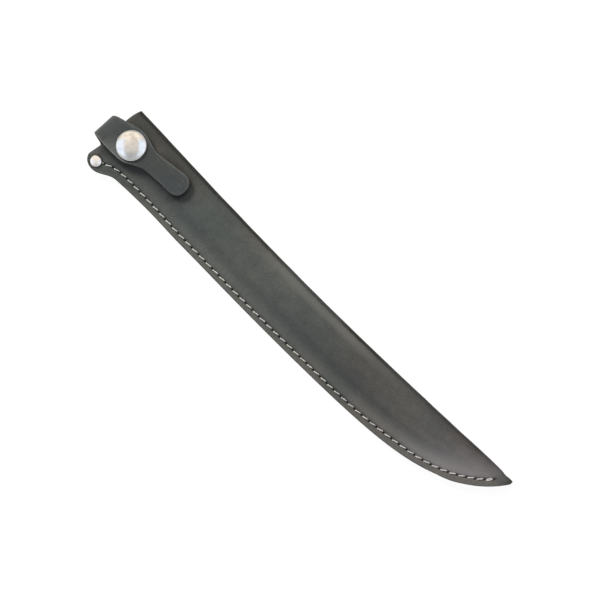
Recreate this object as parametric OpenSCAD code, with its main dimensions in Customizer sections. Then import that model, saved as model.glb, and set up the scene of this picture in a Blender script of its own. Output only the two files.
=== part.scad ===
// Folded leather blade guard for a long slicing knife, closed by a snap strap over its mouth.
// +X runs from the mouth to the tip, +Y to the folded edge, +Z up through the snap.
// The origin is the middle of the blade slot, at the mouth. All sizes are in millimetres.

/* [Leather case] */
// Thickness of the leather
leather_t = 2; // [1.6:0.1:2.4]
// Height of the blade slot next to the fold
slot_h = 4.8; // [4.4:0.1:6]
// Length from the mouth to the point
case_l = 265; // [240:1:300]
// Width of the case between the mouth and the belly
case_w = 31.1; // [28:0.5:40]
// Distance from the slot's centre line to the folded edge, at both ends
spine_y = 16.85; // [15:0.05:20]
// How far the folded edge dips towards the slot half way along
spine_dip = 3.2; // [0:0.1:5]
// Where the seam starts to curve up to the point
belly_x = 100; // [60:5:140]
// How late the belly turns
belly_turn = 6.5; // [4:0.1:9]
// How blunt the point is
belly_blunt = 0.87; // [0.6:0.01:1.2]
// Extra width at the mouth
mouth_flare = 4.9; // [2:0.1:7]
// Length over which the mouth's extra width runs out
flare_l = 45; // [30:1:70]
// Width over which the front leaf rises from the seam to the slot's height
rise_w = 7; // [5:0.5:9]
// Length of the slot's taper at the point
slot_taper = 62; // [40:1:90]
// Distance from the slot's closed end to the point
slot_end = 8; // [6:0.5:14]

/* [Riveted ear at the mouth] */
// Depth of the ear below the seam
ear_drop = 2.8; // [1:0.1:4]
// Distance from the mouth to the end of the ear's straight edge
ear_flat = 6; // [4:0.5:9]
// Length over which the ear runs into the seam
ear_run = 9; // [6:0.5:14]
// How far the ear and the fold lean out of and into the mouth's line
mouth_lean = 2; // [0:0.1:3]
// Distance from the mouth to the end of the ear's round corner
corner_x = 4; // [3:0.5:6]
// Height of the ear's round corner
corner_h = 4.5; // [3:0.5:6]

/* [Seam] */
// Thickness of the welt between the two leaves
welt_t = 1.8; // [1.2:0.1:2.4]
// Width of the welt
welt_w = 6.3; // [5:0.1:8]
// Distance from the seam's edge to the stitch line
stitch_inset = 2.9; // [2.5:0.1:3.6]
// Extra distance of the stitch line from the edge along the belly
stitch_sway = 0.5; // [0:0.1:1]
// Distance between two needle holes
stitch_pitch = 4.76; // [4:0.02:6]
// Length of the thread that lies on top, in one stitch
stitch_l = 3.6; // [2:0.1:3.8]
// Diameter of the thread
thread_d = 0.8; // [0.5:0.1:1]
// Angle between a stitch and the stitch line
stitch_slant = 10; // [0:1:12]
// Distance from the mouth to the first needle hole
stitch_start = 6.9; // [6.9:0.1:14]
// Distance from the point to the last needle hole, at least
stitch_end = 7.5; // [7:0.1:14]
// How far the stitch line turns down to the rivet
stitch_turn = 4; // [0:0.1:4.5]

/* [Rivet] */
// Diameter of the rivet's cap
rivet_d = 6.3; // [5:0.1:7]
// Height of the rivet's cap
rivet_h = 1.5; // [1:0.1:2]
// Diameter of the rivet's post
rivet_post_d = 2.8; // [2:0.1:3.2]
// Distance from the mouth to the rivet
rivet_x = 3.5; // [3:0.1:6]
// Distance from the ear's lower edge to the rivet
rivet_inset = 4.3; // [4:0.1:6]

/* [Strap] */
// Thickness of the strap's leather
strap_t = 2; // [1.6:0.1:2.4]
// Width of the strap where it folds
strap_fold_w = 12.5; // [10:0.1:16]
// Width of the strap's round paddle at the snap
paddle_w = 18.6; // [17:0.1:24]
// Width of the tab's neck
neck_w = 10.8; // [8:0.1:14]
// Width of the tab's end
tab_w = 11.9; // [9:0.1:15]
// Distance from the snap to the tab's end
tab_reach = 35.3; // [32:0.1:45]
// Gap between the mouth and the centre line of the strap's fold
fold_gap = 0.13; // [0.1:0.05:1.5]
// Distance from the snap to the neck
neck_run = 14; // [12:0.5:18]
// Length of the tab's round end
tab_round = 6; // [4:0.1:8]
// Angle between the strap and the case
strap_skew = 5.5; // [0:0.5:9]
// Angle between the strap's fold and a square line across the case
fold_skew = 2.9; // [0:0.1:4]

/* [Snap] */
// Distance from the mouth to the snap
snap_x = 10.7; // [10.5:0.1:12]
// Distance from the slot's centre line to the snap, towards the fold
snap_y = 0.8; // [0:0.1:2]
// Gap between the case and the strap at the snap
snap_gap = 2.4; // [2.2:0.1:3.2]
// Diameter of the cap
cap_d = 15.3; // [13:0.1:16.5]
// Height of the cap's dome
cap_h = 2.7; // [2:0.1:3.5]
// Diameter of the socket under the strap
socket_d = 12.4; // [11:0.1:13]
// Diameter of the stud's flange
stud_flange_d = 11.2; // [9:0.1:12]
// Diameter of the stud's head
stud_head_d = 5; // [4.6:0.1:5.2]
// Diameter of the eyelet's barrel, which holds the stud
barrel_d = 3.4; // [3:0.1:3.6]
// Diameter of the cap's post
cap_post_d = 3.6; // [3:0.1:4]

/* [Hidden] */
$fn = 64;
metal_t = 0.3;
play = 0.05;
flush = 0.03;

back_in_z = -slot_h / 2;
back_z = back_in_z - leather_t;
front_z = slot_h / 2 + leather_t;
seam_z = back_in_z + welt_t + leather_t;

mouth_fade_l = 12;
straight_mouth = strap_fold_w / 2 + 3.75;
ear_lip = 7;
groove_w = 1.7;
groove_wall = 0.4;
groove_front = 0.35;
groove_back = thread_d + 2 * flush;
groove_least = 0.02;

function ramp(a, b, x) = min(1, max(0, (x - a) / (b - a)));
function ease(t) = (1 - cos(180 * t)) / 2;

// The case's outline, as heights y over the distance x from the mouth.
function fold_y(x) = spine_y - spine_dip * sin(180 * ramp(0, case_l - 17, x));
function band_w(x) = case_w * pow(1 - pow(ramp(belly_x, case_l, x), belly_turn), belly_blunt);
function flare(x) = mouth_flare * pow(1 - ramp(0, flare_l, x), 2);
function plain_y(x) = fold_y(x) - band_w(x) - flare(x);
function ear(x) = ear_drop * (1 - ease(ramp(ear_flat, ear_flat + ear_run, x)));
function corner(x) = corner_h * (1 - sqrt(1 - pow(1 - ramp(-mouth_lean, corner_x, x), 2)));
function edge_y(x) = plain_y(x) - ear(x) + corner(x);
function lean(x) = sqrt(1 + pow(plain_y(x + 1) - plain_y(x), 2));
function inner_y(x) = plain_y(x) + welt_w * lean(x);
function turn_down(x) = stitch_turn * exp(-(x - stitch_start) / 5);
function sway(x) = stitch_sway * sin(180 * ramp(belly_x, case_l - 20, x));
function stitch_y(x) = plain_y(x) + flare(x) + stitch_inset * lean(x) + sway(x) - turn_down(x);

// How far the mouth's edge leans out at height y, and how that fades along the case.
function mouth_x(y) = y > straight_mouth
    ? mouth_lean * pow((y - straight_mouth) / (spine_y - straight_mouth), 2)
    : -mouth_lean * sin(90 * ramp(straight_mouth, straight_mouth + ear_lip, -y));
function fade(s) = pow(1 - ramp(0, mouth_fade_l, s), 2);

// Height of the slot at x.
function slot(x) = welt_t + (slot_h - welt_t) * (1 - ease(ramp(-slot_taper, 0, x - case_l + slot_end)));

stations = [
    for (x = [0, 0.15, 0.4, 0.8, 1.4, 2.2, 3.2, 4.4, 6, 8, 10, 12, 14, 17, 20, 25, 30, 37, 44]) x,
    for (i = [1:11]) 44 + (case_l - 89) * i / 11,
    for (i = [1:14]) case_l - 45 + 43 * ease(0.5 + i / 28) * 2 - 43,
    case_l - 1.1,
    case_l - 0.4
];

rise_steps = 5;
fold_steps = 10;

// One cut across the case: pairs of an outer and an inner point, from the front leaf's seam edge
// over the fold to the back leaf's seam edge.
function cut(s) =
    let (
        ye = edge_y(s - mouth_lean * fade(s)),
        ys = fold_y(s + mouth_lean * fade(s)),
        w = ys - ye,
        k = lean(s),
        g = slot(s),
        ry = min(leather_t + g / 2, 0.45 * w),
        rz = leather_t + g / 2,
        yc = ys - ry,
        yf = min(inner_y(s), ye + 0.85 * (yc - ye)),
        gap = yf - ye,
        gh = min(groove_w * k / 2, 0.2 * gap),
        gs = min(groove_wall, 0.1 * gap),
        yg = min(max(stitch_y(s - mouth_lean * fade(s)), ye + gh + 2 * gs), yf - gh - 2 * gs),
        last = case_l - stitch_end,
        on = ramp(stitch_start - 4, stitch_start - 1.5, s) * (1 - ramp(last + 1.5, last + 3.5, s)),
        gf = groove_least + (groove_front - groove_least) * on,
        gb = groove_least + (groove_back - groove_least) * on,
        rw = min(rise_w, 0.8 * (yc - yf)),
        lift = g - welt_t,
        flat_ys = [ye, yg - gh - gs, yg - gh, yg + gh, yg + gh + gs, yf],
        front = [for (j = [0:5]) let (d = j == 2 || j == 3 ? gf : 0)
            [[flat_ys[j], seam_z - d], [flat_ys[j], seam_z - leather_t]]],
        rise = [for (j = [1:rise_steps]) let (t = j / rise_steps, y = yf + rw * t, z = lift * ease(t))
            [[y, seam_z + z], [y, seam_z - leather_t + z]]],
        turn = [for (j = [0:fold_steps]) let (a = 90 - 180 * j / fold_steps)
            [[yc + ry * cos(a), back_z + rz + rz * sin(a)],
             [yc + max(0.1, ry - leather_t) * cos(a), back_z + rz + g / 2 * sin(a)]]],
        flat = yc - yf,
        middle_ys = [max(min(straight_mouth, yc - 0.1 * flat), yf + 0.6 * flat),
            min(max(-straight_mouth, yf + 0.1 * flat), yf + 0.4 * flat)],
        middle = [for (y = middle_ys) [[y, back_z], [y, back_in_z]]],
        back = [for (j = [5:-1:0]) let (d = j == 2 || j == 3 ? gb : 0)
            [[flat_ys[j], back_z + d], [flat_ys[j], back_in_z]]]
    )
    [for (p = concat(front, rise, turn, middle, back)) [for (q = p) [s + fade(s) * mouth_x(q[0]), q[0], q[1]]]];

// A closed sheet between two grids: rows of pairs of an outer and an inner point.
module sheet(rows) {
    m = len(rows);
    n = len(rows[0]);
    points = [for (side = [0, 1]) for (row = rows) for (pair = row) pair[side]];
    function at(side, i, j) = side * m * n + i * n + j;
    function quad(a, b, c, d) = [[a, b, c], [a, c, d]];
    outer = [for (i = [0:m - 2]) for (j = [0:n - 2])
        each quad(at(0, i, j), at(0, i, j + 1), at(0, i + 1, j + 1), at(0, i + 1, j))];
    inner = [for (i = [0:m - 2]) for (j = [0:n - 2])
        each quad(at(1, i, j), at(1, i + 1, j), at(1, i + 1, j + 1), at(1, i, j + 1))];
    ends = [for (j = [0:n - 2]) each concat(
        quad(at(0, 0, j), at(1, 0, j), at(1, 0, j + 1), at(0, 0, j + 1)),
        quad(at(0, m - 1, j), at(0, m - 1, j + 1), at(1, m - 1, j + 1), at(1, m - 1, j)))];
    edges = [for (i = [0:m - 2]) each concat(
        quad(at(0, i, 0), at(0, i + 1, 0), at(1, i + 1, 0), at(1, i, 0)),
        quad(at(0, i, n - 1), at(1, i, n - 1), at(1, i + 1, n - 1), at(0, i + 1, n - 1)))];
    polyhedron(points, concat(outer, inner, ends, edges));
}

rivet_y = plain_y(rivet_x) - ear_drop + rivet_inset;
eyelet_d = stud_flange_d - 2;
eyelet_t = 0.5;
rivet_head_t = 0.9;

module case_leather() {
    difference() {
        sheet([for (s = stations) cut(s)]);
        translate([rivet_x, rivet_y, back_z - 1]) cylinder(h = front_z - back_z + 2, d = rivet_post_d + 2 * play);
        translate([rivet_x, rivet_y, back_z - 1]) cylinder(h = rivet_head_t + 1 + flush, d = rivet_d + 2 * play);
        translate([snap_x, snap_y, slot_h / 2 - 1]) cylinder(h = leather_t + 2, d = barrel_d + 2 * play);
        translate([snap_x, snap_y, slot_h / 2 - 1]) cylinder(h = 1 + eyelet_t, d = eyelet_d + 2 * play);
    }
}

module sheath_body() {
    color("#4b4b47") case_leather();
}

module welt() {
    color("#33302c") difference() {
        sheet([for (s = stations) let (c = cut(s), a = c[0][1], b = c[5][1])
            [[a, [a[0], a[1], back_in_z]], [b, [b[0], b[1], back_in_z]]]]);
        translate([rivet_x, rivet_y, back_z]) cylinder(h = front_z - back_z, d = rivet_post_d + 2 * play);
    }
}

// Needle holes, one pitch apart along the stitch line.
function next_hole(x) =
    let (slope = stitch_y(x + 1) - stitch_y(x), step = stitch_pitch / sqrt(1 + slope * slope) / 2)
    let (mid = x + step, slope_mid = stitch_y(mid + 1) - stitch_y(mid))
    x + stitch_pitch / sqrt(1 + slope_mid * slope_mid);
holes = [for (x = stitch_start; x <= case_l - stitch_end; x = next_hole(x)) x];

// A row of separate stitches at height z.
module stitches(z) {
    for (i = [0:len(holes) - 2]) {
        a = [holes[i], stitch_y(holes[i]), z];
        b = [holes[i + 1], stitch_y(holes[i + 1]), z];
        turn = atan2(b[1] - a[1], b[0] - a[0]) + stitch_slant;
        translate((a + b) / 2) rotate([0, 0, turn]) rotate([0, 90, 0])
            cylinder(h = stitch_l, d = thread_d, center = true);
    }
}

module needle_thread() {
    color("#9a958c") stitches(seam_z - groove_front + thread_d / 2 + flush);
}

module bobbin_thread() {
    color("#9a958c") stitches(back_z + groove_back - thread_d / 2 - flush);
}

// A turned piece from a list of radius and height pairs.
module turned(profile) {
    rotate_extrude() polygon(profile);
}

// Half of a domed section: radius r, rim height rim, full height h.
dome_steps = 8;
function dome(r, rim, h) = [for (i = [0:dome_steps]) let (a = 90 * i / dome_steps)
    [i == dome_steps ? 0 : r * cos(a), rim + (h - rim) * sin(a)]];

rivet_bore_d = rivet_post_d + 2 * play;
rivet_bore_h = 0.8;

module rivet_cap() {
    r = rivet_d / 2;
    color("#c9cbc8") translate([rivet_x, rivet_y, seam_z])
        turned(concat([[rivet_bore_d / 2, rivet_bore_h], [rivet_bore_d / 2, 0], [r, 0]],
            dome(r, metal_t, rivet_h), [[0, rivet_bore_h]]));
}

module rivet_post() {
    r = rivet_d / 2;
    post_h = seam_z - back_z + rivet_bore_h - play;
    color("#c9cbc8") translate([rivet_x, rivet_y, back_z + flush])
        turned([[0, 0], [r, 0], [r, rivet_head_t - flush], [rivet_post_d / 2, rivet_head_t - flush],
            [rivet_post_d / 2, post_h - flush], [0, post_h - flush]]);
}

// The male half of the snap, on the case.
stud_h = snap_gap - 0.9;
stud_flange_t = 0.4;
stud_neck_r = stud_head_d / 2 - 0.4;
barrel_r = barrel_d / 2;
barrel_lip = 0.15;

module snap_stud() {
    r = stud_head_d / 2;
    bore_r = barrel_r + play;
    color("#b9bbb8") translate([snap_x, snap_y, front_z])
        turned([[bore_r, 0], [stud_flange_d / 2, 0], [stud_flange_d / 2, stud_flange_t],
            [stud_neck_r, stud_flange_t], [stud_neck_r, stud_h * 0.5], [r, stud_h * 0.7],
            [r - 0.1, stud_h * 0.85], [r - 0.5, stud_h], [bore_r, stud_h]]);
}

module stud_eyelet() {
    top = leather_t - eyelet_t + stud_h;
    color("#b9bbb8") translate([snap_x, snap_y, slot_h / 2])
        turned([[barrel_r - metal_t, flush], [eyelet_d / 2, flush], [eyelet_d / 2, eyelet_t],
            [barrel_r, eyelet_t], [barrel_r, eyelet_t + top], [barrel_r + metal_t, eyelet_t + top],
            [barrel_r + metal_t, eyelet_t + top + barrel_lip],
            [barrel_r - metal_t, eyelet_t + top + barrel_lip]]);
}

// The strap leaves the back leaf at the mouth, turns half round and lies over the front leaf.
flap_z = front_z + snap_gap;
bend_out = (flap_z + strap_t - back_z) / 2;
bend_in = bend_out - strap_t;
bend_mid = bend_out - strap_t / 2;
bend_z = back_z + bend_out;
along = [cos(strap_skew), sin(strap_skew)];
square = [cos(fold_skew), -sin(fold_skew)];
across = [sin(fold_skew), cos(fold_skew)];
bend_x = -fold_gap - strap_fold_w / 2 * sin(fold_skew);
snap_reach = (snap_x - bend_x) / cos(strap_skew);
bend_xy = [snap_x, snap_y] - snap_reach * along;
root_slope = tan(strap_skew + 2 * fold_skew);
drift = tan(strap_skew + fold_skew);
strap_l = bend_out + snap_reach + tab_reach;
paddle_u = bend_out + snap_reach;
neck_u = paddle_u + neck_run;
end_u = strap_l - tab_round;

// Half the strap's width at distance u from the outermost line of the fold.
function half_w(u) =
    u < paddle_u ? (strap_fold_w + (paddle_w - strap_fold_w) * sin(90 * max(0, u) / paddle_u)) / 2
    : u < neck_u ? (paddle_w + (neck_w - paddle_w) * ease(ramp(paddle_u, neck_u, u))) / 2
    : u < end_u ? (neck_w + (tab_w - neck_w) * ramp(neck_u, end_u, u)) / 2
    : tab_w / 2 * pow(max(0, 1 - pow(ramp(end_u, strap_l, u), 2.4)), 1 / 2.4);

bend_steps = 16;
module strap_bend() {
    function ring(a) =
        let (
            arc = bend_mid * PI * (a - 90) / 180,
            mid = arc * drift,
            hw = a < 0 ? strap_fold_w / 2 : half_w(bend_out * a / 90) / cos(strap_skew + fold_skew)
        )
        [for (v = [mid - hw, mid + hw]) [for (r = [bend_out, bend_in])
            let (p = bend_xy + across * v - square * r * cos(a)) [p[0], p[1], bend_z + r * sin(a)]]];
    root = ring(-90);
    mouth = [for (pair = root) [for (p = pair) [0, p[1] + p[0] * root_slope, p[2]]]];
    color("#43484a") sheet(concat([mouth], [for (i = [0:bend_steps]) ring(-90 + 180 * i / bend_steps)]));
}

flap_steps = 24;
tip_steps = 8;
module strap_flap() {
    straight_l = end_u - bend_out;
    root_w = half_w(bend_out);
    side = concat(
        [for (i = [1:flap_steps]) let (u = straight_l * i / flap_steps) [u, half_w(bend_out + u)]],
        [for (i = [1:tip_steps]) let (u = straight_l + tab_round * sin(90 * i / tip_steps))
            [u, half_w(bend_out + u)]]);
    upper = concat([[root_w * drift, root_w]], side);
    lower = concat([for (i = [len(side) - 2:-1:0]) [side[i][0], -side[i][1]]], [[-root_w * drift, -root_w]]);
    color("#43484a") translate([bend_xy[0], bend_xy[1], flap_z]) rotate([0, 0, strap_skew]) difference() {
        linear_extrude(strap_t) polygon(concat(upper, lower));
        translate([snap_reach, 0, -1]) cylinder(h = strap_t + 2, d = cap_post_d + 2 * play);
    }
}

// The female half of the snap, on the strap.
socket_t = snap_gap - 0.6;
post_lip = 0.2;

module snap_cap() {
    r = cap_d / 2;
    post_r = cap_post_d / 2;
    bottom = -strap_t - metal_t;
    color("#d3d4d0") translate([snap_x, snap_y, flap_z + strap_t])
        turned(concat([[0, bottom - post_lip], [post_r + 1, bottom - post_lip], [post_r + 1, bottom],
            [post_r, bottom], [post_r, 0], [r - metal_t, 0], [r, metal_t]], dome(r, 2 * metal_t, cap_h)));
}

module snap_socket() {
    r = socket_d / 2;
    hole_r = stud_head_d / 2 + 0.8;
    color("#b9bbb8") translate([snap_x, snap_y, flap_z])
        turned([[cap_post_d / 2 + play, 0], [r - metal_t, 0], [r, -metal_t], [r, metal_t - socket_t],
            [r - metal_t, -socket_t], [hole_r, -socket_t], [hole_r, -metal_t],
            [cap_post_d / 2 + play, -metal_t]]);
}

spring_wire_d = 0.5;
module snap_spring() {
    r = stud_head_d / 2 + 0.8 - spring_wire_d / 2 - play;
    color("#8f9090") translate([snap_x, snap_y, flap_z - socket_t + spring_wire_d / 2])
        rotate([0, 0, 30]) rotate_extrude(angle = 300) translate([r, 0]) circle(d = spring_wire_d, $fn = 16);
}

sheath_body();
welt();
needle_thread();
bobbin_thread();
rivet_cap();
rivet_post();
snap_stud();
stud_eyelet();
strap_bend();
strap_flap();
snap_cap();
snap_socket();
snap_spring();
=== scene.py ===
"""Dresses the leather blade guard: its folded case, sewn seam, strap, rivet and snap."""

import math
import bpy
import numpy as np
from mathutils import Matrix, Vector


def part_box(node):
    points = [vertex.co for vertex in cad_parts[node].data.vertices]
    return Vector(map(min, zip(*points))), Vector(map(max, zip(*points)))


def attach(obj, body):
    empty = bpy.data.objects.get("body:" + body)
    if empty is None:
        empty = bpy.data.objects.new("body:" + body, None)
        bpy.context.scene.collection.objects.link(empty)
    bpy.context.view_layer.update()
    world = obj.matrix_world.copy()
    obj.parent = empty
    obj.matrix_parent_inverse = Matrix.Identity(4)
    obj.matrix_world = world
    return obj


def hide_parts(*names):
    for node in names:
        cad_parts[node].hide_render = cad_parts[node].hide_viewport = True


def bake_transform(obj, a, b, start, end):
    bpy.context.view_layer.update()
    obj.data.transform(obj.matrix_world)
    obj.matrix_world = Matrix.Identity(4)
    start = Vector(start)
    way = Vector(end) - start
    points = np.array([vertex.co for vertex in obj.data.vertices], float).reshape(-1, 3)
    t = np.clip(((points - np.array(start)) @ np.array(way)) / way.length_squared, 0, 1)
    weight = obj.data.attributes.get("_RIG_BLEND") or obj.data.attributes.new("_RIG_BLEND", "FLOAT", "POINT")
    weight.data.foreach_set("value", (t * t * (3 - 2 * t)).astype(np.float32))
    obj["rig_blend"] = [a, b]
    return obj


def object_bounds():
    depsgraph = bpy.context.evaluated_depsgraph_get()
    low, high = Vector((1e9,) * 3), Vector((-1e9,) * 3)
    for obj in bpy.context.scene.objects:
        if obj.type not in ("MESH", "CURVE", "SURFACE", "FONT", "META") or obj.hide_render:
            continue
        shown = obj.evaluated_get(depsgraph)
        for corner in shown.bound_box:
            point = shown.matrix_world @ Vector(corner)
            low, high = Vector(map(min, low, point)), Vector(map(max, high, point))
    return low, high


bl_info = {
    "name": "Leather Blade Guard",
    "version": (1, 0, 0),
    "blender": (4, 5, 0),
    "location": "View3D > Sidebar > Blade Guard",
    "description": "Models a folded leather blade guard with a sewn seam and a snap strap over its mouth",
    "category": "Add Mesh",
}

from types import SimpleNamespace

import bmesh
import bpy
from bpy.props import FloatProperty, FloatVectorProperty, PointerProperty
from mathutils import Matrix, Vector, noise

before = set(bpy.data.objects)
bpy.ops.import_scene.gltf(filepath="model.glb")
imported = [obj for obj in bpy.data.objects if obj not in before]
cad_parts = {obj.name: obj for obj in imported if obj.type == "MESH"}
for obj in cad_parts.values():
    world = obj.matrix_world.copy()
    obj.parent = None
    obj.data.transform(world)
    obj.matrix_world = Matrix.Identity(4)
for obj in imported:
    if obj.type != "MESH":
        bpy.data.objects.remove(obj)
CAD_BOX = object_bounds()
MM = 0.001


# Sizes and colours

def middle(node):
    """The middle of a CAD node's box, in millimetres."""
    low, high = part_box(node)
    return (low + high) / 2 / MM


def heights(node):
    """The lowest and highest height of a CAD node's box, in millimetres."""
    return [corner.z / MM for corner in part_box(node)]


def length(name, description, millimetres):
    return FloatProperty(name=name, description=description, default=millimetres * MM,
                         unit="LENGTH", subtype="DISTANCE", precision=5)


def angle(name, description, degrees):
    return FloatProperty(name=name, description=description, default=math.radians(degrees),
                         unit="ROTATION", subtype="ANGLE")


def number(name, description, value):
    return FloatProperty(name=name, description=description, default=value)


def linear(hexes):
    """Linear colour values of a screen colour such as 50544f."""
    parts = [int(hexes[i:i + 2], 16) / 255 for i in (0, 2, 4)]
    return tuple(p / 12.92 if p <= 0.04045 else ((p + 0.055) / 1.055) ** 2.4 for p in parts) + (1.0,)


def colour(name, description, hexes):
    return FloatVectorProperty(name=name, description=description, default=linear(hexes),
                               size=4, subtype="COLOR", min=0.0, max=1.0)


class CaseSettings(bpy.types.PropertyGroup):
    leather: length("Leather", "Thickness of the leather", 2)
    slot: length("Slot height", "Height of the blade slot next to the fold", 4.8)
    length: length("Length", "Length from the mouth to the point", 265)
    width: length("Width", "Width between the mouth and the belly", 31.25)
    spine: length("Fold distance", "Distance from the slot's centre line to the fold", 16.85)
    spine_dip: length("Fold dip", "How far the fold dips half way along", 3.2)
    belly_start: length("Belly start", "Where the seam starts to curve up to the point", 100)
    belly_turn: number("Belly turn", "How late the belly turns", 6.5)
    belly_blunt: number("Belly bluntness", "How blunt the point is", 0.87)
    mouth_flare: length("Mouth flare", "Extra width at the mouth", 3.73)
    flare_length: length("Flare length", "Length over which the extra width runs out", 53.5)
    rise: length("Rise", "Width over which the front leaf rises to the slot's height", 9)
    slot_taper: length("Slot taper", "Length of the slot's taper at the point", 62)
    slot_end: length("Slot end", "Distance from the slot's closed end to the point", 8)
    ear_drop: length("Ear drop", "Depth of the ear below the seam", 3.78)
    ear_flat: length("Ear flat", "Distance from the mouth to the end of the ear's straight edge", 5.4)
    ear_run: length("Ear run", "Length over which the ear runs into the seam", 11.6)
    mouth_lean: length("Mouth lean", "How far the ear and the fold lean out of the mouth's line", 1.9)
    mouth_fade: length("Mouth fade", "Length over which that lean runs out", 12)
    straight_mouth: length("Straight mouth", "Distance from the slot's centre line to the ear's lip", 7)
    ear_lip: length("Ear lip", "Width over which the mouth slants out to the ear", 10.1)
    fold_turn: length("Fold turn", "Width over which the mouth turns back to the fold", 9.85)
    corner_length: length("Corner length", "Distance from the mouth to the end of the ear's corner", 5.5)
    corner_height: length("Corner height", "Height of the ear's round corner", 6.1)
    fullness: length("Belly fullness", "How far the belly swells out towards the point", 0.75)
    crown: length("Crown", "How far the front leaf bulges over the slot", 0.45)
    edge_round: length("Edge rounding", "Radius of the rubbed cut edges", 0.5)
    column: length("Column", "Distance between two columns of the mesh", 0.62)
    mouth_tone: colour("Tone at the mouth", "Leather colour at the mouth", "4c4a45")
    neck_tone: colour("Tone under the strap", "Leather colour under the strap", "484945")
    front_tone: colour("Tone behind the strap", "Leather colour behind the strap", "535551")
    middle_tone: colour("Tone in the middle", "Leather colour half way along", "5a5b56")
    belly_tone: colour("Tone at the belly", "Leather colour where the belly starts", "494946")
    curve_tone: colour("Tone along the belly", "Leather colour along the belly", "5b5955")
    point_tone: colour("Tone near the point", "Leather colour near the point", "66625f")
    tip_tone: colour("Tone at the point", "Leather colour at the point", "5d5a56")
    flesh: colour("Flesh side", "Colour of the leather's rough inner side", "3b3732")
    cut: colour("Cut edge", "Colour of the rubbed cut edges", "33322e")


class SeamSettings(bpy.types.PropertyGroup):
    welt: length("Welt", "Thickness of the welt between the leaves", 1.8)
    welt_width: length("Welt width", "Width of the welt", 6.3)
    inset: length("Inset", "Distance from the seam's edge to the stitch line", 3.05)
    sway: length("Sway", "Extra distance of the stitch line along the belly", 0.6)
    pitch: length("Pitch", "Distance between two needle holes", 4.74)
    tight: length("Tight stitches", "How much shorter the stitches are near the mouth", 0.3)
    slack: length("Slack stitches", "How much longer the stitches are behind the strap", 0.15)
    thread: length("Thread", "Diameter of the thread", 0.72)
    sunk: number("Sunk thread", "How much thinner the thread looks where it lies tight at the mouth", 0.32)
    slant: angle("Slant", "Angle between a stitch and the stitch line", 10)
    start: length("Start", "Distance from the mouth to the first needle hole", 7.6)
    end: length("End", "Distance from the point to the last needle hole, at least", 7.5)
    turn_down: length("Turn down", "How far the stitch line turns down to the rivet", 3.5)
    hole: length("Needle hole", "Radius of a needle hole", 0.5)
    hole_depth: length("Needle hole depth", "Depth of a needle hole's dimple", 0.9)
    front_groove: length("Front groove", "Depth of the groove along the front stitches", 0.35)
    back_groove: length("Back groove", "Depth of the groove along the back stitches", 0.86)
    thread_tone: colour("Thread tone", "Colour of the waxed thread", "e9e6df")
    thread_dirt: colour("Thread dirt", "Colour between the thread's plies", "8b857b")
    welt_tone: colour("Welt tone", "Colour of the welt's edge", "2f2b27")


class StrapSettings(bpy.types.PropertyGroup):
    leather: length("Leather", "Thickness of the strap", 2)
    fold_width: length("Fold width", "Width where the strap folds", 12.5)
    fold_shift: length("Fold shift", "How far the fold lies out of line with the snap and the tab", 0.2)
    paddle: length("Paddle", "Width of the paddle at the snap", 18.6)
    neck: length("Neck", "Width of the tab's neck", 10.8)
    tab: length("Tab", "Width of the tab's end", 11.9)
    tab_reach: length("Tab reach", "Distance from the snap to the tab's end", 35.55)
    fold_gap: length("Fold gap", "Gap between the mouth and the fold's centre line", 0.0)
    neck_run: length("Neck run", "Distance from the snap to the neck", 14)
    tab_round: length("Tab round", "Length of the tab's round end", 6)
    skew: angle("Skew", "Angle between the strap and the case", 5.5)
    fold_skew: angle("Fold skew", "Angle between the fold and a square line across the case", 2.9)
    edge_round: length("Edge rounding", "Radius of the rubbed cut edges", 0.55)
    fillet: length("Root fillet", "Radius of the corners where the strap leaves the back leaf", 1.6)
    dip: length("Dip", "How far the neck hangs below the paddle", 0.45)
    tone: colour("Tone", "Colour of the strap's grain side", "414340")
    # Also the colour of the strap's painted sheen and of the painted highlight in its edge line.
    pale: colour("Pale tone", "Colour of its rubbed places", "7d7f79")
    flesh: colour("Flesh side", "Colour of the leather's rough inner side", "3a3835")
    cut: colour("Cut edge", "Colour of the cut edges", "4b4c4a")
    # A painted shadow: the near-black line along the cut edge beside the strap's neck and tab, where the gap
    # under the strap is in shade.
    burnish: colour("Burnish", "Colour of the waxed cut round the tab", "121312")


class SnapSettings(bpy.types.PropertyGroup):
    cap: length("Cap", "Diameter of the cap", 15.45)
    cap_height: length("Cap height", "Height of the cap's dome", 2.7)
    socket: length("Socket", "Diameter of the socket under the strap", 12.4)
    flange: length("Stud flange", "Diameter of the stud's flange", 11.2)
    head: length("Stud head", "Diameter of the stud's head", 5)
    barrel: length("Barrel", "Diameter of the eyelet's barrel", 3.4)
    post: length("Cap post", "Diameter of the cap's post", 3.6)
    metal: length("Metal", "Thickness of the pressed metal", 0.3)
    nickel: colour("Nickel", "Colour of the polished caps", "dedbd5")
    smudge: colour("Smudge", "Colour of the dull patches on them", "a39d97")
    steel: colour("Plated steel", "Colour of the stud, socket and eyelet", "b9b8b3")
    wire: colour("Spring wire", "Colour of the spring", "8b8b88")


class RivetSettings(bpy.types.PropertyGroup):
    cap: length("Cap", "Diameter of the rivet's caps", 5.98)
    height: length("Height", "Height of the front cap", 1.5)
    post: length("Post", "Diameter of the post", 2.8)
    tone: colour("Tone", "Colour of the rivet's worn plating", "efe8df")


class StageSettings(bpy.types.PropertyGroup):
    distance: length("Camera distance", "Height of the camera over the front leaf", 4000)
    view: length("View width", "Width of the camera's view at the front leaf", 300)
    sensor: length("Sensor", "Width of the camera's sensor", 36)
    floor: length("Floor", "Width of the floor", 6000)
    key: number("Key light", "Power of the key light in watts", 18.7)
    side: number("Side light", "Power of the side light in watts", 5.2)
    sky: number("Sky", "Strength of the surrounding light", 0.285)
    floor_tone: colour("Floor tone", "Colour in which the floor takes a shadow", "5c5c5c")
    glow: number("Backdrop", "How bright the camera sees the floor itself", 0.95)


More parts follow.
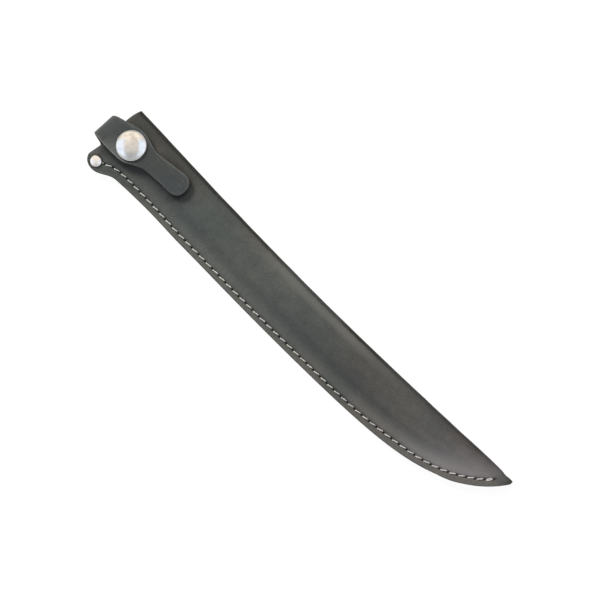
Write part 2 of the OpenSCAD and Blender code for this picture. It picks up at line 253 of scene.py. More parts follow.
class GuardSettings(bpy.types.PropertyGroup):
    case: PointerProperty(type=CaseSettings)
    seam: PointerProperty(type=SeamSettings)
    strap: PointerProperty(type=StrapSettings)
    snap: PointerProperty(type=SnapSettings)
    rivet: PointerProperty(type=RivetSettings)
    stage: PointerProperty(type=StageSettings)


def values(group):
    """A settings group's values, with its lengths in millimetres."""
    found = {}
    for key in group.__annotations__:
        value = getattr(group, key)
        if group.bl_rna.properties[key].unit == "LENGTH":
            value = round(value / MM, 5)
        found[key] = value
    return SimpleNamespace(**found)


# Shape helpers, all in millimetres

def ramp(a, b, x):
    return min(1.0, max(0.0, (x - a) / (b - a)))


def ease(t):
    return (1 - math.cos(math.pi * t)) / 2


def mix(a, b, t):
    return a + (b - a) * t


def bell(x, width):
    return math.exp(-(x / width) ** 2)


def rounding(distance, radius):
    """How far a rounded edge lies below the surface, at a distance from the cut."""
    if distance >= radius:
        return 0.0
    return radius - math.sqrt(max(0.0, radius ** 2 - (radius - distance) ** 2))


def edge_steps(radius, flat, turns=4):
    """Distance from the cut and depth under the surface, from the foot of a cut edge to its top."""
    steps = [(0.0, flat), (0.0, (flat + radius) / 2)]
    for i in range(turns + 1):
        t = math.pi / 2 * i / turns
        steps.append((radius * (1 - math.cos(t)), radius * (1 - math.sin(t))))
    return steps


def spread(start, end, step):
    """Evenly spaced values between two others, without both ends."""
    count = max(2, round((end - start) / step))
    return [mix(start, end, i / count) for i in range(1, count)]


# Widths in which a point's marks rise to 1 at the fold and at a cut edge
FOLD_SHADE = 16.0
EDGE_SHADE = 2.2
# Rows of the mesh between the edge and the stitch line, and from there to the welt's inner edge
OUTER_ROWS = (0.18, 0.34, 0.49, 0.62, 0.74, 0.84, 0.92, 1.0)
INNER_ROWS = (0.08, 0.16, 0.24, 0.33, 0.43, 0.54, 0.68, 0.84, 1.0)
# Steps of the mesh up the front leaf's rise, over the slot, round the fold and along the back
RISE_STEPS, CROWN_STEPS, FOLD_STEPS, BACK_STEPS = 10, 14, 20, 12
# Depth of the seat for the rivet's back, and the radii of its floor and its rim
SEAT_DEPTH, SEAT_FLOOR, SEAT_RIM = 0.66, 3.1, 3.95
# Distances from the stitch line to the floor's edge and the rim of its groove
GROOVE_FLOOR, GROOVE_RIM = 0.35, 1.15
# How far the blunt point stops short of the full length
POINT_CUT = 0.4
# How far along the seam a needle hole still dimples the leather
HOLE_REACH = 2


class CaseForm:
    """The case's outline and cuts, worked out from its sizes."""

    def __init__(self, case, seam):
        self.case = case
        self.seam = seam
        self.back_in_z = -case.slot / 2
        self.back_z = self.back_in_z - case.leather
        self.seam_z = self.back_in_z + seam.welt + case.leather
        self.end = case.length - POINT_CUT
        self.rivet = middle("rivet_cap").xy
        self.holes = self.needle_holes()
        self.hole_points = [(x, self.stitch_y(x)) for x in self.holes]

    def spine_y(self, x):
        c = self.case
        return c.spine - c.spine_dip * math.sin(math.pi * ramp(0, c.length - 17, x))

    def fold_y(self, x):
        """The fold's line: the spine with a notch and a swelling near the point, and not quite even."""
        past_point = x - self.case.length
        notch = 0.32 * bell(past_point + 5.4, 1.6)
        swelling = 0.15 * bell(past_point + 10.5, 5)
        uneven = 0.12 + 0.14 * noise.noise(Vector((x / 13, 4.0, 0.0)))
        return self.spine_y(x) - notch + max(uneven * ramp(8, 30, x), 0.15 * bell(x - 18, 9)) + swelling

    def band_width(self, x):
        c = self.case
        return c.width * (1 - ramp(c.belly_start, c.length, x) ** c.belly_turn) ** c.belly_blunt

    def flare(self, x):
        return self.case.mouth_flare * (1 - ramp(0, self.case.flare_length, x)) ** 2

    def plain_y(self, x):
        """The sewn edge without its ear, its corner and the swell of the belly."""
        fuller = 0.28 * bell(x - 57, 13)
        return self.spine_y(x) - self.band_width(x) - self.flare(x) - fuller

    def edge_y(self, x):
        c = self.case
        past_point = x - c.length
        ear = c.ear_drop * (1 - ease(ramp(c.ear_flat, c.ear_flat + c.ear_run, x)))
        t = 1 - ramp(-c.mouth_lean, c.corner_length, x)
        corner = c.corner_height * (1 - math.sqrt(1 - t ** 2))
        swell = c.fullness * ease(ramp(-33, -21, past_point)) * (1 - ramp(-3.5, 0, past_point))
        blunt_tip = 0.75 * bell(x - self.end - 0.3, 2.2)
        return self.plain_y(x) - ear + corner - swell - blunt_tip

    def lean(self, x):
        """Length of the edge for each millimetre along x."""
        return math.sqrt(1 + (self.plain_y(x + 1) - self.plain_y(x)) ** 2)

    def stitch_y(self, x):
        c, m = self.case, self.seam
        sway = m.sway * (bell(x - c.length + 55, 18) + 0.3 * bell(x - 142, 22) + 0.3 * bell(x - 50, 20))
        turn_down = m.turn_down * math.exp(-(x - m.start) / 5)
        return self.plain_y(x) + self.flare(x) + m.inset * self.lean(x) + sway - turn_down

    def needle_holes(self):
        x = self.seam.start
        holes = []
        while x <= self.case.length - self.seam.end:
            holes.append(x)
            step = self.step(x)
            half_way = x + self.along_x(step, x) / 2
            x += self.along_x(step, half_way)
        return holes

    def along_x(self, step, x):
        """How far a step along the stitch line leads in x."""
        return step / math.hypot(1, self.stitch_y(x + 1) - self.stitch_y(x))

    def step(self, x):
        """Length of the stitch that starts at x: sewn by hand, so not quite even."""
        return self.seam.pitch - self.seam.tight * bell(x - 19, 14) + self.seam.slack * bell(x - 72, 30)

    def mouth_x(self, y):
        c = self.case
        if y > c.spine - c.fold_turn:
            return c.mouth_lean * ((y - c.spine + c.fold_turn) / c.fold_turn) ** 2
        return -c.mouth_lean * ramp(c.straight_mouth, c.straight_mouth + c.ear_lip, -y)

    def fade(self, s):
        return (1 - ramp(0, self.case.mouth_fade, s)) ** 2

    def slot(self, x):
        c = self.case
        closing = ease(ramp(-c.slot_taper, 0, x - c.length + c.slot_end))
        return self.seam.welt + (c.slot - self.seam.welt) * (1 - closing)

    def columns(self):
        """Distance from the mouth and depth of the rounding, for each column of the mesh."""
        c = self.case
        steps = edge_steps(c.edge_round, c.leather / 2)
        between = spread(c.edge_round, self.end - c.edge_round, c.column)
        return steps + [(s, 0.0) for s in between] + [(self.end - e, n) for e, n in reversed(steps)]

    def hole_at(self, x, y):
        """How deep in a needle hole a point lies, from 0 beside it to 1 at its middle."""
        if x < self.holes[0] - HOLE_REACH or x > self.holes[-1] + HOLE_REACH:
            return 0.0
        near = min((x - hx) ** 2 + (y - hy) ** 2 for hx, hy in self.hole_points if abs(hx - x) < 6)
        return math.exp(-near / self.seam.hole ** 2)

    def rivet_seat(self, x, y):
        """Depth of the seat that the rivet's flat back is pressed into."""
        away = math.hypot(x - self.rivet.x, y - self.rivet.y)
        return SEAT_DEPTH * (1 - ease(ramp(SEAT_FLOOR, SEAT_RIM, away)))

    def phase(self, x):
        """Where x lies between its needle holes, as an angle: 0 at a hole, half a turn between two."""
        hole = min(self.holes, key=lambda h: abs(h - x))
        if not self.holes[0] - 1 < x < self.holes[-1] + 1:
            return math.pi
        near = (x - hole) * self.lean(x) / self.seam.pitch
        return 2 * math.pi * max(-0.5, min(0.5, near))

    def cut(self, s):
        """The rows of the cut at s: outer and inner point, depth of the rounding, and marks.

        The cut runs from the edge (ye) past the stitch line (yg) and the welt's inner edge (yf)
        over the slot to the fold's start (yc), round the fold (ys) and back below.
        """
        c, m = self.case, self.seam
        lean_out = c.mouth_lean * self.fade(s)
        ye = self.edge_y(s - lean_out)
        ys = self.fold_y(s + lean_out)
        k = self.lean(s)
        g = self.slot(s)
        w = ys - ye
        rz = c.leather + g / 2
        ry = min(rz, 0.45 * w)
        yc = ys - ry
        yf = min(self.plain_y(s) + m.welt_width * k, ye + 0.85 * (yc - ye))
        squeeze = min(1.0, (yf - ye) / 4)
        yg = min(max(self.stitch_y(s - lean_out), ye + 1.4 * squeeze), yf - 1.2 * squeeze)
        rw = min(c.rise, 0.8 * (yc - yf))
        lift = g - m.welt
        on = ramp(m.start - 4, m.start - 1.5, s) * (1 - ramp(self.holes[-1] + 1, self.holes[-1] + 3, s))
        seam_rows = [(ye + e * squeeze, n) for e, n in edge_steps(c.edge_round, c.leather)]
        start = seam_rows[-1][0]
        seam_rows += [(mix(start, yg, f), 0.0) for f in OUTER_ROWS]
        seam_rows += [(mix(yg, yf, f), 0.0) for f in INNER_ROWS]
        rows = []

        def add(outer, inner, n):
            rows.append(SimpleNamespace(outer=outer, inner=inner, n=n, across=(outer[0] - yg) / k,
                                        fold=1 - ramp(0, FOLD_SHADE, ys - outer[0]),
                                        edge=1 - ramp(0, EDGE_SHADE, (outer[0] - ye) / k)))

        def groove(y):
            away = abs(y - yg) / max(0.5, squeeze * k)
            return (1 - ease(ramp(GROOVE_FLOOR, GROOVE_RIM, away))) * on

        for y, n in seam_rows:
            hole = self.hole_at(s + self.fade(s) * self.mouth_x(y), y)
            depth = m.front_groove * groove(y) + m.hole_depth * hole
            add((y, self.seam_z - depth), (y, self.seam_z - c.leather), n)
        for j in range(1, RISE_STEPS + 1):
            t = j / RISE_STEPS
            y, z = yf + rw * t, lift * ease(t)
            add((y, self.seam_z + z), (y, self.seam_z - c.leather + z), 0.0)
        along = ramp(32, 75, s) * (1 - ramp(c.length - 60, c.length - 12, s))
        for j in range(1, CROWN_STEPS):
            t = j / CROWN_STEPS
            y = mix(yf + rw, yc, t)
            z = lift + c.crown * along * math.sin(math.pi * t) ** 1.5
            add((y, self.seam_z + z), (y, self.seam_z - c.leather + z), 0.0)
        for j in range(FOLD_STEPS + 1):
            a = math.pi / 2 - math.pi * j / FOLD_STEPS
            add((yc + ry * math.cos(a), self.back_z + rz + rz * math.sin(a)),
                (yc + max(0.1, ry - c.leather) * math.cos(a), self.back_z + rz + g / 2 * math.sin(a)), 0.0)
        for j in range(1, BACK_STEPS):
            y = mix(yc, yf, j / BACK_STEPS)
            add((y, self.back_z), (y, self.back_in_z), 0.0)
        begun = ramp(m.start - 1.6, m.start - 0.6, s)
        for y, n in reversed(seam_rows):
            x = s + self.fade(s) * self.mouth_x(y)
            depth = max(m.back_groove * groove(y) * begun + 0.25 * self.hole_at(x, y), self.rivet_seat(x, y))
            add((y, self.back_z + depth), (y, self.back_in_z), n)
        return rows


# Mesh helpers

# Points nearer to each other than this many millimetres are joined
WELD = 0.0002


def mapped_grid(bm, columns, rows, place):
    """Adds a grid, and sets each of its points and marks to what place(column, row) gives."""
    made = bmesh.ops.create_grid(bm, x_segments=columns - 1, y_segments=rows - 1, size=1.0)["verts"]
    if len(made) != columns * rows:
        raise RuntimeError("the grid hasn't the number of points that was asked for")
    for vert in made:
        i = round((vert.co.x + 1) / 2 * (columns - 1))
        j = round((vert.co.y + 1) / 2 * (rows - 1))
        point, marks = place(i, j)
        vert.co = point
        for name, value in marks.items():
            vert[bm.verts.layers.float[name]] = value


def two_sided_grid(bm, columns, rows, place):
    """Adds the outer and the inner side of a sheet, whose borders meet, with a material each."""
    for side, outside in enumerate((True, False)):
        known = set(bm.faces)
        mapped_grid(bm, columns, rows, lambda i, j: place(i, j, outside))
        for face in bm.faces:
            if face not in known:
                face.material_index = side


def new_mesh(*marks):
    bm = bmesh.new()
    for name in marks:
        bm.verts.layers.float.new(name)
    return bm


def linked(name, data):
    """A new object in the scene."""
    made = bpy.data.objects.new(name, data)
    bpy.context.scene.collection.objects.link(made)
    return made


def add_piece(bm, name, body, materials, replaced, sharp=180.0):
    """Makes the finished mesh an object that rides on a body and stands for its CAD nodes."""
    bmesh.ops.remove_doubles(bm, verts=bm.verts[:], dist=WELD)
    bmesh.ops.dissolve_degenerate(bm, edges=bm.edges[:], dist=WELD)
    bmesh.ops.recalc_face_normals(bm, faces=bm.faces[:])
    bmesh.ops.scale(bm, verts=bm.verts[:], vec=(MM, MM, MM))
    mesh = bpy.data.meshes.new(name)
    bm.to_mesh(mesh)
    bm.free()
    mesh.shade_smooth()
    if sharp < 180:
        mesh.set_sharp_from_angle(angle=math.radians(sharp))
    for material in materials:
        mesh.materials.append(material)
    piece = linked(name, mesh)
    if body:
        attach(piece, body)
    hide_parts(*replaced)
    return piece


def rounded_path(corners, turns=4):
    """A path of radius and height pairs, with an arc at each corner that names a rounding."""
    path = []
    count = len(corners)
    for i, corner in enumerate(corners):
        here = Vector(corner[:2])
        radius = corner[2] if len(corner) > 2 else 0.0
        if not radius or i in (0, count - 1):
            path.append(here)
            continue
        back = Vector(corners[i - 1][:2]) - here
        on = Vector(corners[i + 1][:2]) - here
        half = back.angle(on) / 2
        reach = min(radius / math.tan(half), back.length * 0.49, on.length * 0.49)
        first = here + back.normalized() * reach
        last = here + on.normalized() * reach
        for j in range(turns + 1):
            t = j / turns
            path.append(first * (1 - t) ** 2 + here * 2 * t * (1 - t) + last * t ** 2)
    return path


def turned_mesh(corners, centre, steps, closed):
    """A piece turned round an upright line through centre."""
    bm = new_mesh()
    path = rounded_path(corners)
    verts = [bm.verts.new((p[0], 0, p[1])) for p in path]
    edges = [bm.edges.new(pair) for pair in zip(verts, verts[1:])]
    if closed:
        edges.append(bm.edges.new((verts[-1], verts[0])))
    bmesh.ops.spin(bm, geom=verts + edges, cent=(0, 0, 0), axis=(0, 0, 1), angle=2 * math.pi,
                   steps=steps, use_merge=True, use_duplicate=False)
    bmesh.ops.translate(bm, verts=bm.verts[:], vec=centre)
    return bm


def add_turned(corners, centre, z, name, body, material, replaced, sharp=60, steps=96, closed=False):
    """Adds a piece turned round the upright line through centre, with its path's zero at height z."""
    bm = turned_mesh(corners, (centre.x, centre.y, z), steps, closed)
    add_piece(bm, name, body, [material], [replaced], sharp)


# Materials

# Depths of the materials' bumps, in metres
GRAIN_DEPTH = 0.00006
FLESH_DEPTH = 0.00015
THREAD_DEPTH = 0.00004
WELT_DEPTH = 0.0001
METAL_DEPTH = 0.000008


def node(tree, kind, inputs=None, **settings):
    """Adds a shader node; an input that is a socket is joined, any other value is set."""
    made = tree.nodes.new(kind)
    for name, value in settings.items():
        setattr(made, name, value)
    for name, value in (inputs or {}).items():
        if isinstance(value, bpy.types.NodeSocket):
            tree.links.new(value, made.inputs[name])
        else:
            made.inputs[name].default_value = value
    return made


def joined(kind, inputs, **settings):
    """Adds a shader node to the tree of those of its inputs that are sockets."""
    tree = next(value.id_data for value in inputs.values() if isinstance(value, bpy.types.NodeSocket))
    return node(tree, kind, inputs, **settings)


def maths(operation, *values):
    return joined("ShaderNodeMath", dict(enumerate(values)), operation=operation).outputs[0]


def times(first, *others):
    """The product of sockets and numbers."""
    for other in others:
        first = maths("MULTIPLY", first, other)
    return first


def largest(first, *others):
    for other in others:
        first = maths("MAXIMUM", first, other)
    return first


def vector_maths(operation, *values, output="Vector"):
    return joined("ShaderNodeVectorMath", dict(enumerate(values)), operation=operation).outputs[output]


def scaled(vector, scale):
    return joined("ShaderNodeVectorMath", {0: vector, "Scale": scale}, operation="SCALE").outputs[0]


def stretched(vector, scale, turn=(0.0, 0.0, 0.0)):
    return joined("ShaderNodeMapping", {"Vector": vector, "Scale": scale, "Rotation": turn}).outputs["Vector"]


def axis(vector, name):
    return joined("ShaderNodeSeparateXYZ", {0: vector}).outputs[name]


def blend(factor, a, b, blend_type="MIX"):
    """Two colours, mixed by a factor."""
    inputs = {0: factor, 6: a, 7: b}
    return joined("ShaderNodeMix", inputs, data_type="RGBA", blend_type=blend_type).outputs[2]


def tinted(tone, light):
    """A colour made lighter or darker."""
    return blend(1.0, tone, light, "MULTIPLY")


def noise_at(vector, scale, detail=3.0, roughness=0.55, distortion=0.0, output="Fac"):
    inputs = {"Vector": vector, "Scale": scale, "Detail": detail, "Roughness": roughness,
              "Distortion": distortion}
    return joined("ShaderNodeTexNoise", inputs).outputs[output]


def levels(value, low, high, to_low=0.0, to_high=1.0):
    """Brings a value from low to high into a new range, and holds it there."""
    inputs = {"Value": value, "From Min": low, "From Max": high, "To Min": to_low, "To Max": to_high}
    return joined("ShaderNodeMapRange", inputs, clamp=True).outputs["Result"]


def attribute(tree, name):
    return node(tree, "ShaderNodeAttribute", attribute_name=name).outputs["Fac"]


def leather_grain(vector, pebbles):
    """Fine pebbled grain with pores and shallow creases."""
    wobble = noise_at(vector, 600.0, 2.0, 0.5, output="Color")
    shifted = vector_maths("MULTIPLY_ADD", wobble, (0.0004, 0.0004, 0.0004), vector)
    cells = joined("ShaderNodeTexVoronoi", {"Vector": shifted, "Scale": pebbles},
                   feature="DISTANCE_TO_EDGE").outputs["Distance"]
    fine = times(noise_at(vector, 4200.0, 3.0), 0.3)
    wrinkle = noise_at(stretched(vector, (0.6, 1.0, 1.0)), 420.0, 4.0, 0.6, 0.6)
    height = maths("MULTIPLY_ADD", levels(cells, 0.0, 0.35), 0.55, fine)
    return {"Height": maths("MULTIPLY_ADD", wrinkle, 0.45, height), "Pores": levels(cells, 0.09, 0.0)}


def mottling(vector, scale):
    """Uneven dye at three sizes, from broad clouds to fine specks."""
    vector = scaled(vector, scale)
    clouds = noise_at(stretched(vector, (0.6, 1.0, 1.0)), 42.0, 2.0, 0.5, 0.4)
    patches = noise_at(vector, 150.0, 4.0, 0.6, 0.5)
    return {"Clouds": levels(clouds, 0.3, 0.7), "Patches": levels(patches, 0.3, 0.7),
            "Specks": noise_at(vector, 1500.0, 4.0, 0.8)}


def wear(vector, edge):
    """Rubbed edges, fine scratches and specks of dust."""
    rubbed = times(edge, levels(noise_at(vector, 320.0, 4.0, 0.65), 0.35, 0.65))
    lines = []
    for turn, scale in ((0.5, 130.0), (-0.9, 170.0)):
        along = stretched(vector, (0.22, 3.2, 1.0), (0.0, 0.0, turn))
        ridge = maths("ABSOLUTE", maths("SUBTRACT", noise_at(along, scale, 2.0), 0.5))
        here = levels(noise_at(vector, scale * 0.6, 2.0), 0.56, 0.66)
        lines.append(times(levels(ridge, 0.008, 0.0), here))
    cells = joined("ShaderNodeTexVoronoi", {"Vector": vector, "Scale": 380.0}, feature="F1").outputs
    speck = maths("LESS_THAN", cells["Distance"], levels(cells["Color"], 0.0, 1.0, 0.0, 0.11))
    chosen = maths("GREATER_THAN", noise_at(vector, 900.0, 0.0), 0.56)
    return {"Rubbed": rubbed, "Scratches": largest(*lines), "Dust": times(speck, chosen)}


def handled_metal(vector, scale):
    """Smudges and hair scratches on polished metal."""
    vector = scaled(vector, scale)
    smudges = levels(noise_at(vector, 280.0, 3.0, 0.5, 0.6), 0.4, 0.7)
    hair = noise_at(stretched(vector, (0.3, 6.0, 1.0), (0.0, 0.0, 0.7)), 700.0, 3.0, 0.7)
    return {"Smudges": smudges, "Hairlines": hair}


# Each shared group: how it is made, and its second input with that input's default
GROUPS = {"grain": (leather_grain, "Pebbles", 1400.0), "mottling": (mottling, "Scale", 1.0),
          "wear": (wear, "Edge", 0.0), "metal": (handled_metal, "Scale", 1.0)}


def group_outputs(tree, key, **inputs):
    """Places a shared node group, made on its first use, and gives its outputs."""
    name = f"guard {key}"
    group = bpy.data.node_groups.get(name)
    if group is None:
        make, label, value = GROUPS[key]
        group = bpy.data.node_groups.new(name, "ShaderNodeTree")
        sockets = group.interface
        sockets.new_socket("Vector", in_out="INPUT", socket_type="NodeSocketVector")
        sockets.new_socket(label, in_out="INPUT", socket_type="NodeSocketFloat").default_value = value
        given = group.nodes.new("NodeGroupInput").outputs
        made = make(given["Vector"], given[label])
        for output in made:
            sockets.new_socket(output, in_out="OUTPUT", socket_type="NodeSocketFloat")
        node(group, "NodeGroupOutput", made)
    return node(tree, "ShaderNodeGroup", inputs, node_tree=group).outputs


def new_material(name):
    """An empty material: its tree and its object coordinates."""
    material = bpy.data.materials.new(name)
    material.use_nodes = True
    tree = material.node_tree
    tree.nodes.clear()
    return tree, node(tree, "ShaderNodeTexCoord").outputs["Object"]


def surface(tree, height, distance, inputs):
    """The material's surface: bumps of a height, and the shader's other inputs."""
    bumps = node(tree, "ShaderNodeBump", {"Height": height, "Distance": distance, "Strength": 1.0})
    shader = node(tree, "ShaderNodeBsdfPrincipled", {**inputs, "Normal": bumps.outputs["Normal"]})
    node(tree, "ShaderNodeOutputMaterial", {"Surface": shader.outputs["BSDF"]})


def needle_holes(tree, pitch):
    """Distance in millimetres to the nearest needle hole, from the marks along the seam."""
    turn = maths("ARCTAN2", attribute(tree, "hole_sin"), attribute(tree, "hole_cos"))
    along = times(turn, pitch / (2 * math.pi))
    flat = node(tree, "ShaderNodeCombineXYZ", {0: along, 1: attribute(tree, "across")}).outputs[0]
    return vector_maths("LENGTH", flat, output="Value")


def case_marks_and_painted_light(tree, where, tone, pale, pitch):
    """The case's darker and lighter places, some its own and some painted light: painted highlights, painted
    shade round the rivet and in the needle holes, the strap's painted shadow, and a fold that is partly
    darker leather and partly painted shade.

    x is the distance from the mouth in metres, across the distance from the stitch line in
    millimetres, and fold and edge rise to 1 at the fold and at the cut edges.
    """
    fold, across, edge = (attribute(tree, name) for name in ("fold", "across", "edge"))
    x = axis(where, "X")
    uneven = maths("MULTIPLY_ADD", noise_at(where, 260.0, 3.0, 0.6), 0.07, maths("SUBTRACT", fold, 0.035))
    # Painted highlight: a lighter band a few millimetres inside the fold.
    ridge = times(levels(uneven, 0.56, 0.74), levels(uneven, 0.93, 0.86),
                  levels(x, 0.089, 0.112, 0.0, 0.34), levels(x, 0.2, 0.16))
    tip = times(levels(x, 0.237, 0.249, 0.0, 0.8), levels(x, 0.251, 0.258, 1.0, 0.2))
    ends = largest(levels(x, 0.1, 0.02, 0.1, 0.45), levels(x, 0.17, 0.22, 0.0, 0.45), tip)
    # Partly darker leather, partly painted shade: a broad darkening beside the fold, towards both ends of the
    # case.
    darker_leather_and_shade_beside_fold = times(levels(fold, 0.55, 0.88), ends)
    # Partly darker leather, partly painted shade: the dark band along the fold's outer line.
    far = times(levels(x, 0.138, 0.153, 0.0, 0.9), levels(x, 0.172, 0.188, 1.0, 0.55))
    darker_leather_and_shade_on_fold_line = times(levels(uneven, 0.865, 0.94), largest(levels(x, 0.095, 0.112, 0.97, 0.45), far))
    # Painted highlight: a pale haze over the belly near the point.
    painted_belly_highlight = times(levels(across, 15.0, 3.0), levels(across, -0.4, 0.6),
                 levels(x, 0.205, 0.235, 0.0, 0.48), levels(x, 0.264, 0.247))
    # Painted light: lighter paint on the front leaf's rise from the seam, which turns away from the lamps.
    painted_light_on_rise = times(levels(across, 0.8, 2.2), levels(across, 9.0, 5.0),
                  levels(x, 0.225, 0.24, 1.0, 0.4), levels(x, 0.14, 0.21, 0.07, 0.23))
    flange = times(levels(across, -0.5, -1.0), levels(x, 0.015, 0.045, -0.05, 0.14))
    from_middle = maths("ABSOLUTE", maths("SUBTRACT", x, 0.12))
    rim = times(levels(edge, 0.76, 0.93, 0.0, 0.8), levels(from_middle, 0.08, 0.115, 1.0, 0.3))
    # Painted shade: a dark ring in the leather round the rivet's cap.
    from_rivet = vector_maths("SUBTRACT", where, tuple(middle("rivet_cap") * MM))
    from_rivet = vector_maths("MULTIPLY", from_rivet, (1.0, 1.0, 0.0))
    painted_shade_round_rivet = levels(vector_maths("LENGTH", from_rivet, output="Value"), 0.0041, 0.0033, 0.0, 0.55)
    hole = needle_holes(tree, pitch)
    for place, shade in ((ridge, pale), (darker_leather_and_shade_beside_fold, linear("2c2824")), (darker_leather_and_shade_on_fold_line, linear("1a1913")),
                         (painted_belly_highlight, linear("979190")), (painted_light_on_rise, linear("8b8c86")), (flange, linear("857f74")),
                         (rim, linear("22231d")), (painted_shade_round_rivet, linear("1b1a17")),
                         # Painted shadow of the strap on the front leaf, darkest close to the strap's edges.
                         (times(attribute(tree, "shelter"), 0.5), linear("121310")),
                         # Needle holes: partly dark dye, partly painted shade in their dimples.
                         (levels(hole, 0.8, 0.3, 0.0, 0.45), linear("161512")),
                         (levels(hole, 0.5, 0.36), linear("080807"))):
        tone = blend(place, tone, shade)
    return tone


def grained_leather(name, base, worn, pale, cut, rough, rub, burnish=None):
    """Waxed leather: base gives its colour, and worn the places that wear has changed, together with painted
    shade, shadow and highlights.
    """
    tree, where = new_material(name)
    spots = group_outputs(tree, "mottling", Vector=where)
    grain = group_outputs(tree, "grain", Vector=where)
    edge, cut_edge = attribute(tree, "edge"), attribute(tree, "cut")
    marks = group_outputs(tree, "wear", Vector=where, Edge=edge)
    tone = tinted(base(tree, where, spots), levels(spots["Specks"], 0.3, 0.7, 0.76, 1.22))
    for place, strength, shade in ((grain["Pores"], 0.35, (0.01, 0.01, 0.009, 1.0)),
                                   (marks["Scratches"], 0.22, pale), (marks["Rubbed"], rub, pale),
                                   (marks["Dust"], 0.4, linear("a8a69f"))):
        tone = blend(times(place, strength), tone, shade)
    tone = worn(tree, where, tone)
    fibres = noise_at(stretched(where, (1.0, 1.0, 2.5)), 1800.0, 4.0, 0.7)
    dark_cut = tuple(v * 0.55 for v in cut[:3]) + (1.0,)
    tone = blend(cut_edge, tone, blend(levels(fibres, 0.35, 0.65), cut, dark_cut))
    if burnish is not None:
        # Painted shadow: a near-black line along the strap's cut edge where the waxed mark lies, standing in
        # for the shade under that edge.
        tone = blend(times(levels(edge, 0.68, 0.84), attribute(tree, "waxed")), tone, burnish)
    surface(tree, maths("MULTIPLY_ADD", fibres, cut_edge, grain["Height"]), GRAIN_DEPTH,
            {"Base Color": tone, "Specular IOR Level": 0.25,
             "Roughness": levels(spots["Patches"], 0.0, 1.0, rough - 0.06, rough + 0.08)})


def case_leather_material(name, case, seam):
    pale = linear("85827a")
    stops_between = ((0.1, case.neck_tone), (0.23, case.front_tone), (0.43, case.middle_tone),
                     (0.65, case.belly_tone), (0.78, case.curve_tone), (0.87, case.point_tone))

    def base(tree, where, spots):
        """The tone along the case, from the mouth to the point, with cooler and warmer clouds."""
        shifted = maths("MULTIPLY_ADD", spots["Clouds"], 0.022, axis(where, "X"))
        along = levels(shifted, 0.011, case.length * MM + 0.011)
        scale = node(tree, "ShaderNodeValToRGB", {0: along})
        stops = scale.color_ramp.elements
        stops[0].position, stops[0].color = 0.02, case.mouth_tone
        stops[1].position, stops[1].color = 0.98, case.tip_tone
        for place, tone in stops_between:
            stops.new(place).color = tone
        tone = blend(levels(spots["Clouds"], 0.25, 0.9, 0.0, 0.42), scale.outputs["Color"], linear("444b48"))
        tone = blend(levels(spots["Clouds"], 0.5, 0.05, 0.0, 0.3), tone, linear("6d655c"))
        return tinted(tone, levels(spots["Patches"], 0.0, 1.0, 0.84, 1.14))

    def worn(tree, where, tone):
        return case_marks_and_painted_light(tree, where, tone, pale, seam.pitch)

    grained_leather(name, base, worn, pale, case.cut, rough=0.6, rub=0.3)


def strap_leather_material(name, strap):
    def base(tree, where, spots):
        tone = blend(times(spots["Clouds"], 0.5), strap.tone, linear("3c4346"))
        # curl lightens the curl's outer line and carries the painted sheen beside the paddle.
        return blend(attribute(tree, "curl"), tone, strap.pale)

    def worn(tree, where, tone):
        """A pale line just inside the strap's edges: partly rubbed raw fibres, partly a painted highlight
        where the rounded edge catches the light.
        """
        edge = attribute(tree, "edge")
        line = times(levels(edge, 0.6, 0.74), levels(edge, 0.92, 0.82), attribute(tree, "rubbed"))
        return blend(line, tone, strap.pale)

    grained_leather(name, base, worn, strap.pale, strap.cut, rough=0.55, rub=0.25, burnish=strap.burnish)


def flesh_material(name, tone):
    """The leather's rough inner side: short felted fibres."""
    tree, where = new_material(name)
    spots = group_outputs(tree, "mottling", Vector=where, Scale=1.6)
    fibres = noise_at(stretched(where, (1.0, 2.2, 1.0)), 2600.0, 5.0, 0.75, 1.0)
    tint = blend(times(spots["Patches"], 0.4), tinted(tone, levels(fibres, 0.3, 0.7, 0.7, 1.25)),
                 linear("4a443c"))
    surface(tree, fibres, FLESH_DEPTH, {"Base Color": tint, "Roughness": 0.92, "Sheen Weight": 0.2})


def thread_material(name, seam):
    """Waxed thread: dark between its plies, with worn and dirty stitches."""
    tree, where = new_material(name)
    spots = group_outputs(tree, "mottling", Vector=where, Scale=2.0)
    fibres = noise_at(where, 5200.0, 4.0, 0.7)
    tone = blend(times(spots["Patches"], 0.35), seam.thread_tone, linear("c0bab0"))
    tone = blend(levels(axis(where, "X"), 0.17, 0.25, 0.0, 0.45), tone, linear("e6dcd6"))
    tone = blend(levels(attribute(tree, "ply"), 0.35, 1.0, 0.0, 0.75), tone, seam.thread_dirt)
    tone = tinted(tone, levels(fibres, 0.3, 0.7, 0.88, 1.1))
    # Partly dirt, partly painted shade: the thread darkens where its ends dive into the needle holes.
    tone = blend(attribute(tree, "deep"), tone, linear("1d1b18"))
    surface(tree, fibres, THREAD_DEPTH,
            {"Base Color": tone, "Roughness": levels(fibres, 0.0, 1.0, 0.5, 0.75)})


def welt_material(name, seam):
    """The welt's burnished edge: fibres in layers along the seam."""
    tree, where = new_material(name)
    layers = noise_at(stretched(where, (0.25, 0.25, 3.5)), 900.0, 4.0, 0.7)
    spots = group_outputs(tree, "mottling", Vector=where)
    tone = blend(levels(layers, 0.35, 0.65), seam.welt_tone, linear("48423b"))
    tone = blend(times(spots["Patches"], 0.3), tone, linear("1f1c19"))
    surface(tree, layers, WELT_DEPTH,
            {"Base Color": tone, "Roughness": levels(spots["Patches"], 0.0, 1.0, 0.5, 0.7)})


